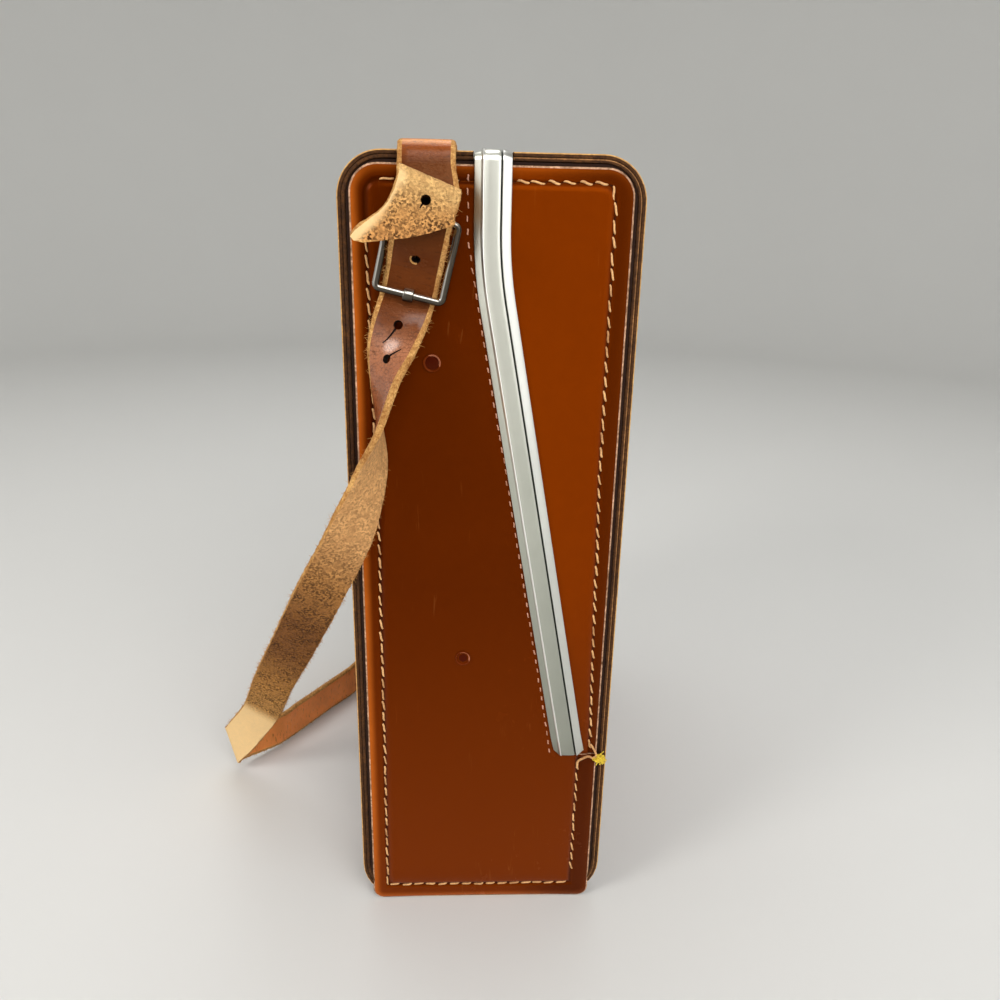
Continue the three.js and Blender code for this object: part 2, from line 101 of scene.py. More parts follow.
class CaseSizes(bpy.types.PropertyGroup):
    height: extent("Height", "Height of the case", 305)
    depth: extent("Depth", "Depth of the case from its back to its lid", 102)
    wall_end: extent("Wall end", "Distance of the walls' cut ends from the middle", 104)
    top_radius: extent("Top radius", "Outer radius of the upper edges", 15)
    bottom_radius: extent("Bottom radius", "Outer radius of the lower edges", 19)
    outer_layer: extent("Outer layer", "Thickness of the walls' outer leather", 1.45)
    inner_layer: extent("Inner layer", "Thickness of the walls' inner leather", 1.15)
    wall: extent("Wall", "Thickness of both layers with the line between them", 2.7)
    hinge_height: extent("Hinge height", "Height of the line where the lid turns", 75)
    panel_face: extent("Panel face", "Distance of the end panels' faces from the middle", 105)
    panel_half: extent("Panel half width", "Half of the end panels' width", 47)
    panel_foot: extent("Panel foot", "Height of the end panels' lower edge", 0.4)
    panel_top: extent("Panel top", "Height of the end panels' upper edge", 301)
    rim_drop: extent("Rim drop", "How far the end panels' rolled edge falls back", 1.3)
    rim_width: extent("Rim width", "Width of the rolled edge", 3.2)
    border_drop: extent("Border drop", "How far the sewn border lies below the middle", 0.55)
    groove_drop: extent("Groove drop", "Depth of the sewn groove", 0.5)


class StitchSizes(bpy.types.PropertyGroup):
    pitch: extent("Pitch", "Distance from one stitch to the next", 5.2)
    length: extent("Length", "Length of one stitch", 5.3)
    thickness: extent("Thickness", "Thickness of the thread", 0.8)
    rail_pitch: extent("Rail pitch", "Distance between the stitches beside the rail", 4.2)
    rail_length: extent("Rail stitch length", "Length of a stitch beside the rail", 2.6)
    rail_thickness: extent("Rail thread", "Thickness of the thread beside the rail", 0.6)
    seed: IntProperty(name="Seed", description="Changes the sewing's small differences", default=7)


class RailSizes(bpy.types.PropertyGroup):
    width: extent("Width", "Width of the metal rail", 12.2)
    height: extent("Ridge height", "Height of the ridges over the rail's underside", 1.75)
    corner_height: extent("Corner height", "Height where the rail starts to slant", 269)
    corner_reach: extent("Corner reach", "Length of the bend on each side of the corner", 13)
    foot_x: extent("Foot place", "How far forward the rail's foot is", 34.9)
    foot_z: extent("Foot height", "Height that the rail's slant is measured to", 77)
    foot_cut: extent("Foot cut", "Height where the rail's lower end is cut level", 76.1)
    top_bend: extent("Top bend", "Radius of the bend over the top edges", 3.1)
    panel_overhang: extent("Overhang", "How far the rail reaches over the body's panel", 3.5)


class StrapSizes(bpy.types.PropertyGroup):
    width: extent("Width", "Width of the strap", 19)
    thickness: extent("Thickness", "Thickness of the strap", 2.4)
    place: extent("Place", "Where the straps lie on the top, along the case's depth", -21.35)
    lie: extent("Lie", "Height of the straps' middle on the top", 306.5)
    hole_radius: extent("Hole radius", "Radius of the punched holes", 1.6)
    buckle_width: extent("Buckle width", "Outside width of the buckle", 25)
    buckle_height: extent("Buckle height", "Outside height of the buckle", 27.5)
    buckle_wire: extent("Buckle wire", "Thickness of the buckle's bars", 2.4)
    buckle_lean: angle("Buckle lean", "How far the buckle leans sideways", 13)


class FinishColours(bpy.types.PropertyGroup):
    # Painted shade: the body panels are the same leather as the lid's, set darker for the shadow of the strap
    # on the upper body.
    body_deep: colour("Body, deep", "Darker leather of the body", 76, 25, 1)
    body_light: colour("Body, light", "Lighter leather of the body", 85, 30, 1)
    # Painted light: the body panels turn lighter towards the foot.
    body_low: colour("Body, low", "Leather low on the body", 112, 44, 1)
    lid_deep: colour("Lid, deep", "Darker leather of the lid", 108, 40, 1)
    lid_light: colour("Lid, light", "Lighter leather of the lid", 122, 48, 1)
    # Painted shade: the lid panels turn darker towards the hinge.
    lid_low_painted_shade: colour("Lid, low", "Leather low on the lid", 62, 26, 7)
    # Painted highlight: the orange glow of the light on the panels' rolled edges.
    rubbed: colour("Rubbed rim", "Panel edges with the dye rubbed thin", 190, 96, 28)
    wall_deep: colour("Wall, deep", "Darker leather of the walls", 90, 36, 7)
    wall_light: colour("Wall, light", "Lighter leather of the walls", 116, 52, 13)
    edge_deep: colour("Cut edge, deep", "Burnished fibres of the cut edges", 42, 21, 9)
    edge_light: colour("Cut edge, light", "Bare fibres of the cut edges", 96, 60, 28)
    worn: colour("Worn edge", "Leather rubbed bare along the edges", 238, 188, 116)
    rim: colour("Rim", "Pale cut edge of the end panels", 246, 196, 160)
    # Painted shade: the dark backing seen in the gap round the end panels stands for the shadow there.
    lining: colour("Lining", "Suede on the inside", 146, 104, 64)
    crevice_shade: colour("Crevice", "Dark leather behind the end panels", 36, 18, 10)
    grain_deep: colour("Strap grain, deep", "Darker smooth side of the strap", 62, 27, 6)
    grain_light: colour("Strap grain, light", "Lighter smooth side of the strap", 136, 70, 28)
    # Painted light: the lit orange tone of the strap's stretch on the floor.
    grain_glow: colour("Strap grain, bright", "Little used stretches of the strap", 255, 160, 86)
    flesh_deep: colour("Strap flesh, deep", "Pits of the strap's rough side", 124, 74, 30)
    flesh_light: colour("Strap flesh, light", "Fibres of the strap's rough side", 255, 200, 126)
    thread: colour("Thread", "Main sewing thread", 236, 184, 124)
    rail_thread: colour("Rail thread", "Dull thread beside the rail", 206, 150, 124)
    tuft: colour("Tuft", "Frayed thread at the hinge", 244, 216, 64)
    rail: colour("Rail", "Silver metal of the rail", 248, 247, 239)
    buckle: colour("Buckle", "Dark nickel of the buckle", 98, 92, 84)
    rivet: colour("Rivet", "Lacquered rivets in the end panels", 100, 36, 4)
    rivet_cup: colour("Rivet cup", "Dark middle of the rivets", 58, 4, 1)
    # Painted highlight: the light crescent on the rivets' rims.
    rivet_glint: colour("Rivet, worn", "Rubbed crescent of the rivets", 196, 124, 92)
    floor: colour("Floor", "Pale floor of the stage", 222, 222, 220)


class StageSizes(bpy.types.PropertyGroup):
    camera_x: extent("Camera X", "Camera's place along the case's depth", -8.75)
    camera_y: extent("Camera Y", "Camera's place in front of the near end", -392.77)
    camera_z: extent("Camera Z", "Camera's height", 287.12)
    pitch: angle("Pitch", "How far the camera looks down", 19.237)
    yaw: angle("Yaw", "How far the camera looks to the right", 2.637)
    roll: angle("Roll", "How far the camera is turned on its axis", -1.284)
    lens: FloatProperty(
        name="Lens", description="Focal length in millimetres on a 36 mm frame",
        default=29.88, min=1.0, subtype="DISTANCE_CAMERA",
    )
    floor_radius: extent("Floor radius", "Radius of the level floor", 1500)


def settings():
    return bpy.context.scene.camera_case


# Selecting and shaping, as by hand


def clear_selection():
    if bpy.context.mode != "OBJECT":
        bpy.ops.object.mode_set(mode="OBJECT")
    bpy.ops.object.select_all(action="DESELECT")


def make_active(*pieces):
    clear_selection()
    for piece in pieces:
        piece.select_set(True)
    bpy.context.view_layer.objects.active = pieces[0]


class Editing:
    """Edit mode on one piece, with nothing selected at the start."""

    def __init__(self, piece, kind):
        self.piece = piece
        self.kind = kind

    def __enter__(self):
        make_active(self.piece)
        bpy.ops.object.mode_set(mode="EDIT")
        bpy.ops.mesh.select_mode(type=self.kind)
        bpy.ops.mesh.select_all(action="DESELECT")
        return self

    def __exit__(self, *problem):
        bpy.ops.object.mode_set(mode="OBJECT")

    def elements(self, mesh):
        return {"VERT": mesh.verts, "EDGE": mesh.edges, "FACE": mesh.faces}[self.kind]

    def pick(self, test):
        """Selects the vertices, edges or faces that pass the test, and nothing else."""
        bpy.ops.mesh.select_all(action="DESELECT")
        mesh = bmesh.from_edit_mesh(self.piece.data)
        found = 0
        for element in self.elements(mesh):
            chosen = bool(test(element))
            element.select = chosen
            found += chosen
        mesh.select_flush_mode()
        bmesh.update_edit_mesh(self.piece.data)
        if not found:
            raise RuntimeError(f"nothing to pick on {self.piece.name}")

    def shape(self, place):
        """Moves each selected vertex to where the function puts it."""
        mesh = bmesh.from_edit_mesh(self.piece.data)
        for vertex in mesh.verts:
            if vertex.select:
                vertex.co = place(vertex.co)
        bmesh.update_edit_mesh(self.piece.data)


def reshape(piece, place):
    """Moves every vertex of a piece to where the function puts it."""
    with Editing(piece, "VERT") as edit:
        bpy.ops.mesh.select_all(action="SELECT")
        edit.shape(place)


def edge_middle(edge):
    return (edge.verts[0].co + edge.verts[1].co) / 2


def edge_runs(edge, axis):
    way = edge.verts[1].co - edge.verts[0].co
    return way.length > 0 and abs(way.normalized()[axis]) > 0.99


def named(piece, name):
    piece.name = name
    piece.data.name = name
    return piece


def apply_place(piece):
    make_active(piece)
    bpy.ops.object.transform_apply(location=True, rotation=True, scale=True)
    return piece


def add_block(name, low, high):
    """A cube at its size and place."""
    clear_selection()
    low, high = Vector(low), Vector(high)
    bpy.ops.mesh.primitive_cube_add(size=1, location=(low + high) / 2)
    block = named(bpy.context.active_object, name)
    block.scale = high - low
    return apply_place(block)


def add_upright_plane(name, low, high, place_y):
    """A plane that faces -Y, between two corners given as (x, z)."""
    clear_selection()
    middle = ((low[0] + high[0]) / 2, place_y, (low[1] + high[1]) / 2)
    bpy.ops.mesh.primitive_plane_add(size=1, location=middle, rotation=ALONG_Y)
    plane = named(bpy.context.active_object, name)
    plane.scale = (high[0] - low[0], high[1] - low[1], 1)
    return apply_place(plane)


ALONG_X = (0, math.pi / 2, 0)
ALONG_Y = (math.pi / 2, 0, 0)


def add_cylinder(name, vertices, radius, depth, location=(0, 0, 0), rotation=(0, 0, 0)):
    """A cylinder at its size and place."""
    clear_selection()
    bpy.ops.mesh.primitive_cylinder_add(
        vertices=vertices, radius=radius, depth=depth, location=location, rotation=rotation
    )
    return apply_place(named(bpy.context.active_object, name))


def copy_piece(piece, name):
    double = piece.copy()
    double.data = piece.data.copy()
    bpy.context.collection.objects.link(double)
    return named(double, name)


def mirrored_piece(piece, name):
    """The same piece for the far end."""
    double = copy_piece(piece, name)
    double.data.transform(Matrix.Scale(-1, 4, (0, 1, 0)))
    double.data.flip_normals()
    return double


def join(name, pieces):
    make_active(*pieces)
    bpy.ops.object.join()
    return named(bpy.context.active_object, name)


def apply_modifier(piece, kind, **values):
    make_active(piece)
    modifier = piece.modifiers.new(kind.title(), kind)
    for key, value in values.items():
        setattr(modifier, key, value)
    bpy.ops.object.modifier_apply(modifier=modifier.name)


def smooth(piece, degrees=40):
    make_active(piece)
    bpy.ops.object.shade_smooth_by_angle(angle=math.radians(degrees))


def give_materials(piece, *materials):
    if piece.data.materials:
        piece.data.materials.clear()
    for material in materials:
        piece.data.materials.append(material)


def give_finishes(piece, *names):
    give_materials(piece, *[kept_material(name) for name in names])


def give_values(piece, name, measure):
    """Stores one number per vertex for the material to read."""
    mesh = piece.data
    values = mesh.attributes.new(name, "FLOAT", "POINT")
    values.data.foreach_set("value", [measure(vertex.co) for vertex in mesh.vertices])


def settle(piece, body, slot, *nodes):
    """Ties a finished piece to its body and hides the solids that it stands for; the slot argument is not
    used.
    """
    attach(piece, body)
    if nodes:
        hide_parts(*nodes)
    return piece


# Curves and swept shapes


def smooth_step(low, high, value):
    share = min(1, max(0, (value - low) / (high - low)))
    return share * share * (3 - 2 * share)


def knot_step(first, second, other):
    step = (second - first).length ** 0.5
    return step if step > 1e-4 else other


def curve_point(points, place):
    """A point on the smooth curve through the points; whole numbers are the points themselves."""
    last = len(points) - 1
    index = min(int(place), last - 1)
    share = place - index
    start, end = points[index], points[index + 1]
    before = points[index - 1] if index > 0 else 2 * points[0] - points[1]
    after = points[index + 2] if index + 2 <= last else 2 * points[last] - points[last - 1]
    step = knot_step(start, end, 1)
    step_before = knot_step(before, start, step)
    step_after = knot_step(end, after, step)
    leaving = (start - before) / step_before - (end - before) / (step_before + step)
    leaving = (leaving + (end - start) / step) * step
    coming = (end - start) / step - (after - start) / (step + step_after)
    coming = (coming + (after - end) / step_after) * step
    square = share * share
    cube = square * share
    return (
        start
        + leaving * share
        + (3 * (end - start) - 2 * leaving - coming) * square
        + (2 * (start - end) + leaving + coming) * cube
    )


class Station:
    """One place on a swept shape: its middle, its directions, the length so far and the row it is at."""

    def __init__(self, at, across, out, length_so_far=0.0, heading=None, row=0.0):
        self.at = at
        self.across = across
        self.out = out
        self.length = length_so_far
        self.heading = heading
        self.row = row


# Stored rows count from here, so that a point which a later cut makes is known by its 0
ROW_START = 1.0


def carry(name, profile, stations, shape=None):
    """Carries a closed profile of (across, out, finish) points through the stations and caps the ends.

    The finish is the material slot of the strip that starts at the point. The optional shape function
    gives a profile point's place at a station: across, out and along the way.
    """
    mesh = bmesh.new()
    along = mesh.verts.layers.float.new("along")
    aside = mesh.verts.layers.float.new("aside")
    row = mesh.verts.layers.float.new("row")
    widest = max(abs(point[0]) for point in profile)
    rings = []
    for station in stations:
        ring = []
        for across, out, _ in profile:
            place = station.at
            if shape:
                across, out, ahead = shape(station, across, out)
                place = place + station.heading * ahead
            vertex = mesh.verts.new(place + station.across * across + station.out * out)
            vertex[along] = station.length
            vertex[aside] = across / widest
            vertex[row] = station.row + ROW_START
            ring.append(vertex)
        rings.append(ring)
    count = len(profile)
    for first, second in zip(rings, rings[1:]):
        for index in range(count):
            after = (index + 1) % count
            face = mesh.faces.new((first[index], first[after], second[after], second[index]))
            face.material_index = profile[index][2]
    for ring in (rings[0], rings[-1]):
        mesh.faces.new(ring).material_index = profile[-1][2]
    bmesh.ops.recalc_face_normals(mesh, faces=mesh.faces[:])
    data = bpy.data.meshes.new(name)
    mesh.to_mesh(data)
    mesh.free()
    piece = bpy.data.objects.new(name, data)
    bpy.context.collection.objects.link(piece)
    return piece


def round_profile(radius, sides):
    turns = [2 * math.pi * index / sides for index in range(sides)]
    return [(radius * math.cos(turn), radius * math.sin(turn), 0) for turn in turns]


def line_stations(points, steps):
    """Stations along a free line, with across and out kept from twisting."""
    places = [curve_point(points, index / steps) for index in range((len(points) - 1) * steps + 1)]
    stations = []
    out = Vector((0.13, -0.99, 0.05))
    so_far = 0.0
    for index, at in enumerate(places):
        before = places[max(0, index - 1)]
        after = places[min(len(places) - 1, index + 1)]
        heading = (after - before).normalized()
        across = heading.cross(out).normalized()
        out = across.cross(heading).normalized()
        so_far += (at - before).length
        stations.append(Station(at, across, out, so_far, heading))
    return stations


# Materials


def grey(level):
    return (level, level, level, 1)


class NodeSheet:
    """Adds nodes to one tree and wires them."""

    def __init__(self, tree):
        self.tree = tree

    def feed(self, socket, value):
        if isinstance(value, bpy.types.NodeSocket):
            self.tree.links.new(value, socket)
        else:
            socket.default_value = value

    def add(self, kind, values=None, **choices):
        node = self.tree.nodes.new(kind)
        for key, value in choices.items():
            setattr(node, key, value)
        for socket, value in (values or {}).items():
            self.feed(node.inputs[socket], value)
        return node

    def place(self, stretch=(1, 1, 1)):
        """Object coordinates, stretched along the axes."""
        source = self.add("ShaderNodeTexCoord").outputs["Object"]
        return self.add("ShaderNodeMapping", {"Vector": source, "Scale": stretch}).outputs["Vector"]

    def stored(self, name):
        return self.add("ShaderNodeAttribute", attribute_name=name).outputs["Fac"]

    def noise(self, vector, scale, detail=3.0, roughness=0.55, warp=0.0):
        values = {
            "Vector": vector, "Scale": scale, "Detail": detail, "Roughness": roughness, "Distortion": warp,
        }
        return self.add("ShaderNodeTexNoise", values).outputs["Fac"]

    def cells(self, vector, scale, feature="F1"):
        values = {"Vector": vector, "Scale": scale}
        return self.add("ShaderNodeTexVoronoi", values, feature=feature).outputs["Distance"]

    def spread(self, value, low, high, to_low=0.0, to_high=1.0):
        values = {"Value": value, "From Min": low, "From Max": high, "To Min": to_low, "To Max": to_high}
        return self.add("ShaderNodeMapRange", values, clamp=True).outputs["Result"]

    def calculate(self, operation, first, second):
        return self.add("ShaderNodeMath", {0: first, 1: second}, operation=operation).outputs["Value"]

    def times(self, first, second):
        return self.calculate("MULTIPLY", first, second)

    def plus(self, first, second):
        return self.calculate("ADD", first, second)

    def minus(self, first, second):
        return self.calculate("SUBTRACT", first, second)

    def height(self):
        """The height of a point over the floor, in metres."""
        return self.add("ShaderNodeSeparateXYZ", {"Vector": self.place()}).outputs["Z"]

    def mix(self, amount, first, second, way="MIX"):
        node = self.add("ShaderNodeMix", data_type="RGBA", blend_type=way)
        self.feed(node.inputs[0], amount)
        self.feed(node.inputs[6], first)
        self.feed(node.inputs[7], second)
        return node.outputs[2]

    def ramp(self, value, stops):
        """Colours along a value from 0 to 1."""
        node = self.add("ShaderNodeValToRGB", {"Fac": value})
        for index, (place, tone) in enumerate(stops):
            stop = node.color_ramp.elements[index] if index < 2 else node.color_ramp.elements.new(place)
            stop.position = place
            stop.color = tone
        return node.outputs["Color"]

    def bump(self, height, strength, distance):
        values = {"Height": height, "Strength": strength, "Distance": distance}
        return self.add("ShaderNodeBump", values).outputs["Normal"]

    def finish(self, colour_value, roughness, normal, **constants):
        values = {"Base Color": colour_value, "Roughness": roughness, "Normal": normal}
        shader = self.add("ShaderNodeBsdfPrincipled", values)
        for key, value in constants.items():
            shader.inputs[key.replace("_", " ")].default_value = value
        self.add("ShaderNodeOutputMaterial", {"Surface": shader.outputs["BSDF"]})
        return shader


def new_material(name):
    material = bpy.data.materials.new(name)
    material.use_nodes = True
    material.node_tree.nodes.clear()
    return material, NodeSheet(material.node_tree)


def effect_group(name, inputs, outputs):
    """A shader group with named numbers in and out, its sheet, its inputs, and the node that ends it."""
    tree = bpy.data.node_groups.new(name, "ShaderNodeTree")
    for label, default in inputs.items():
        socket = tree.interface.new_socket(name=label, in_out="INPUT", socket_type="NodeSocketFloat")
        socket.default_value = default
    for label in outputs:
        tree.interface.new_socket(name=label, in_out="OUTPUT", socket_type="NodeSocketFloat")
    sheet = NodeSheet(tree)
    return sheet, sheet.add("NodeGroupInput").outputs, sheet.add("NodeGroupOutput")


def leather_grain_group():
    """Fine pores and creases, cloudy dye, and rubbed scratches on smooth leather."""
    sheet, given, ending = effect_group(
        "leather grain", {"Pores per metre": 1500.0, "Clouds per metre": 22.0}, ("Height", "Dye", "Scratches")
    )
    place = sheet.place()
    pores = sheet.cells(place, given["Pores per metre"], "SMOOTH_F1")
    creases = sheet.noise(place, 420.0, 4.0, 0.6, 0.4)
    height = sheet.plus(sheet.times(pores, 0.5), sheet.times(creases, 0.8))
    clouds = sheet.noise(place, given["Clouds per metre"], 4.0, 0.6, 0.3)
    mottle = sheet.noise(place, 260.0, 3.0, 0.6)
    dye = sheet.plus(sheet.times(clouds, 0.75), sheet.times(mottle, 0.25))
    along = sheet.place((700, 700, 60))
    streaks = sheet.noise(along, 1.0, 2.0, 0.5, 0.6)
    patches = sheet.noise(place, 34.0, 2.0)
    thin = sheet.spread(streaks, 0.66, 0.72)
    scratches = sheet.times(thin, sheet.spread(patches, 0.55, 0.68))
    sheet.feed(ending.inputs["Height"], height)
    sheet.feed(ending.inputs["Dye"], sheet.spread(dye, 0.36, 0.64))
    sheet.feed(ending.inputs["Scratches"], scratches)
    return sheet.tree


def leather_fibre_group():
    """Matted fibres with dark pits, for cut edges and the rough side."""
    sheet, given, ending = effect_group(
        "leather fibres", {"Fibres per metre": 900.0}, ("Height", "Tone", "Pits")
    )
    place = sheet.place()
    strands = sheet.noise(place, given["Fibres per metre"], 5.0, 0.65, 0.8)
    clumps = sheet.noise(place, 190.0, 3.0, 0.6)
    granules = sheet.noise(place, sheet.times(given["Fibres per metre"], 1.3), 2.0, 0.5)
    tone = sheet.plus(sheet.times(strands, 0.6), sheet.times(clumps, 0.4))
    sheet.feed(ending.inputs["Height"], sheet.plus(strands, sheet.times(clumps, 0.6)))
    sheet.feed(ending.inputs["Tone"], sheet.spread(tone, 0.36, 0.64))
    grouped = sheet.times(sheet.spread(granules, 0.46, 0.6), sheet.spread(clumps, 0.3, 0.56))
    sheet.feed(ending.inputs["Pits"], grouped)
    return sheet.tree


def metal_wear_group():
    """Fine drawn lines, dull patches and specks on metal."""
    sheet, given, ending = effect_group(
        "metal wear", {"Lines per metre": 2400.0, "Stretch": 60.0}, ("Lines", "Dull", "Specks")
    )
    lines = sheet.noise(sheet.place((1, 1, 0.03)), given["Lines per metre"], 3.0, 0.6)
    dull = sheet.noise(sheet.place((1, 1, 0.4)), given["Stretch"], 4.0, 0.6, 0.3)
    specks = sheet.noise(sheet.place(), 640.0, 2.0, 0.5)
    sheet.feed(ending.inputs["Lines"], lines)
    sheet.feed(ending.inputs["Dull"], sheet.spread(dull, 0.35, 0.68))
    sheet.feed(ending.inputs["Specks"], sheet.spread(specks, 0.62, 0.72))
    return sheet.tree


def use_effect(sheet, maker, name, **values):
    """Places a shared effect in a material, building the group the first time."""
    tree = bpy.data.node_groups.get(name) or maker()
    node = sheet.add("ShaderNodeGroup", node_tree=tree)
    for key, value in values.items():
        node.inputs[key.replace("_", " ")].default_value = value
    return node.outputs


def use_grain(sheet, **values):
    return use_effect(sheet, leather_grain_group, "leather grain", **values)


def use_fibres(sheet, **values):
    return use_effect(sheet, leather_fibre_group, "leather fibres", **values)


def use_wear(sheet):
    return use_effect(sheet, metal_wear_group, "metal wear")


def panel_leather(name, deep, light, low):
    """Polished leather of an end panel, with painted light: painted shade in its sewn groove and on its front
    border, a painted highlight on its rolled edge, and painted light and shade that change with height.
    """
    material, sheet = new_material(name)
    grain = use_grain(sheet, Clouds_per_metre=9.0)
    dyed = sheet.mix(sheet.spread(grain["Dye"], 0, 1, 0.25, 0.75), deep, light)
    # Painted light and shade by height: the panel blends to its low tone towards the foot, lighter on the
    # body and darker on the lid.
    dyed = sheet.mix(sheet.spread(sheet.height(), 0.15, 0.02, 0.0, 0.8), dyed, low)
    uneven = sheet.spread(grain["Dye"], 0, 1, 0.65, 0.95)
    # Painted highlight: the rolled edge glows orange where the stored share is high.
    dyed = sheet.mix(sheet.times(sheet.stored("rub"), uneven), dyed, settings().finish.rubbed)
    # Painted shade: dark in the sewn groove and on the front border.
    dyed = sheet.mix(sheet.times(sheet.stored("groove"), 0.8), dyed, srgb(46, 12, 1))
    dyed = sheet.mix(sheet.times(grain["Scratches"], 0.08), dyed, srgb(206, 130, 70))
    roughness = sheet.spread(grain["Dye"], 0, 1, 0.22, 0.28)
    normal = sheet.bump(grain["Height"], 0.08, 0.2 * MM)
    sheet.finish(dyed, roughness, normal, Specular_IOR_Level=0.25, Specular_Tint=srgb(255, 120, 16))
    return material


def wall_leather(name, deep, light):
    material, sheet = new_material(name)
    grain = use_grain(sheet, Clouds_per_metre=18.0)
    dyed = sheet.mix(sheet.spread(grain["Dye"], 0, 1, 0.2, 0.8), deep, light)
    dyed = sheet.mix(sheet.times(grain["Scratches"], 0.2), dyed, srgb(206, 140, 80))
    roughness = sheet.spread(grain["Dye"], 0, 1, 0.28, 0.4)
    normal = sheet.bump(grain["Height"], 0.2, 0.3 * MM)
    sheet.finish(dyed, roughness, normal, Specular_IOR_Level=0.35, Specular_Tint=srgb(255, 214, 178))
    return material


def fibre_leather(name, deep, light, rough=0.8, fibres=900.0, strength=0.5):
    """Bare leather fibres, as on a cut edge."""
    material, sheet = new_material(name)
    fibre = use_fibres(sheet, Fibres_per_metre=fibres)
    tone = sheet.mix(fibre["Tone"], deep, light)
    tone = sheet.mix(sheet.times(fibre["Pits"], 0.6), tone, deep)
    normal = sheet.bump(fibre["Height"], strength, 0.5 * MM)
    roughness = sheet.spread(fibre["Tone"], 0, 1, rough - 0.08, rough + 0.08)
    sheet.finish(tone, roughness, normal, Specular_IOR_Level=0.2)
    return material


CREASES_PER_METRE = 850.0


def strap_grain(name, stops, gloss_stops):
    """The strap's smooth side: fine wrinkles across it, and tones and polish that change along it; some of
    the tones are painted light, sheen and highlights.
    """
    material, sheet = new_material(name)
    grain = use_grain(sheet, Pores_per_metre=1100.0, Clouds_per_metre=70.0)
    dyed = sheet.ramp(sheet.stored("share"), stops)
    dyed = sheet.mix(sheet.spread(grain["Dye"], 0, 1, 0.0, 0.25), dyed, srgb(58, 20, 4))
    length_along = sheet.times(sheet.stored("along"), 900.0)
    aside = sheet.times(sheet.stored("aside"), 2.2)
    lie = sheet.add("ShaderNodeCombineXYZ", {"X": length_along, "Y": aside}).outputs["Vector"]
    wrinkles = sheet.noise(lie, 1.0, 3.0, 0.6, 0.5)
    crack = sheet.spread(wrinkles, 0.58, 0.72)
    dyed = sheet.mix(sheet.times(crack, 0.5), dyed, srgb(48, 18, 4))
    polish = sheet.ramp(sheet.stored("share"), gloss_stops)
    from_crease = sheet.cells(sheet.place(), CREASES_PER_METRE, "DISTANCE_TO_EDGE")
    net = sheet.times(sheet.spread(from_crease, 0.02, 0.12, 1.0, 0.0), polish)
    net = sheet.times(net, sheet.spread(wrinkles, 0.35, 0.55))
    dyed = sheet.mix(sheet.times(net, 0.6), dyed, srgb(64, 26, 8))
    folds = sheet.minus(sheet.times(wrinkles, -1.2), net)
    height = sheet.plus(folds, sheet.times(grain["Height"], 0.5))
    roughness = sheet.spread(grain["Dye"], 0, 1, 0.2, 0.36)
    normal = sheet.bump(height, 0.35, 0.4 * MM)
    shader = sheet.finish(
        dyed, roughness, normal,
        Specular_IOR_Level=0.35, Specular_Tint=srgb(255, 184, 130), Coat_Roughness=0.2,
    )
    sheet.feed(shader.inputs["Coat Weight"], polish)
    return material


def strap_flesh(name, deep, stops, soil_and_shade_stops):
    """The strap's rough side: speckled fibres whose tone and soil change along the strap; on one stretch of
    the long strap both carry painted shade too.
    """
    material, sheet = new_material(name)
    fibre = use_fibres(sheet, Fibres_per_metre=840.0)
    light = sheet.ramp(sheet.stored("share"), stops)
    bare = sheet.stored("bare")
    tone = sheet.mix(sheet.spread(fibre["Tone"], 0, 1, 0.65, 0.0), light, deep)
    rough = sheet.spread(bare, 0, 1, 1.0, 0.12)
    soil = sheet.ramp(sheet.stored("share"), soil_and_shade_stops)
    pits = sheet.times(sheet.times(fibre["Pits"], rough), soil)
    tone = sheet.mix(pits, tone, srgb(70, 36, 7))
    tone = sheet.mix(sheet.times(bare, 0.8), tone, srgb(246, 212, 156))
    height = sheet.times(sheet.minus(fibre["Height"], pits), rough)
    normal = sheet.bump(height, 1.0, 0.8 * MM)
    roughness = sheet.spread(fibre["Tone"], 0, 1, 0.7, 0.9)
    sheet.finish(tone, roughness, normal, Specular_IOR_Level=0.2)
    return material


def thread_material(name, tone):
    """Waxed thread with a fine twist and soiled stretches."""
    material, sheet = new_material(name)
    twist = sheet.noise(sheet.place(), 1500.0, 2.0)
    soil = sheet.noise(sheet.place(), 130.0, 2.0)
    soiled = sheet.mix(sheet.spread(soil, 0.45, 0.7, 0.0, 0.6), tone, srgb(150, 92, 50))
    shade = sheet.mix(sheet.spread(twist, 0.4, 0.65, 0.0, 0.4), soiled, srgb(120, 72, 40))
    normal = sheet.bump(twist, 0.4, 0.2 * MM)
    sheet.finish(shade, sheet.spread(soil, 0.3, 0.7, 0.5, 0.7), normal, Specular_IOR_Level=0.3)
    return material


def finish_metal(sheet, wear, skin, smoothest, roughest):
    roughness = sheet.spread(wear["Dull"], 0, 1, smoothest, roughest)
    normal = sheet.bump(wear["Lines"], 0.05, 0.1 * MM)
    sheet.finish(skin, roughness, normal, Metallic=1.0)


def clasp_finish(name, tone):
    """Drawn metal with dull patches and small specks."""
    material, sheet = new_material(name)
    wear = use_wear(sheet)
    skin = sheet.mix(sheet.times(wear["Dull"], 0.6), tone, srgb(160, 160, 150))
    skin = sheet.mix(sheet.times(wear["Specks"], 0.15), skin, srgb(70, 66, 60))
    finish_metal(sheet, wear, skin, 0.24, 0.36)
    return material


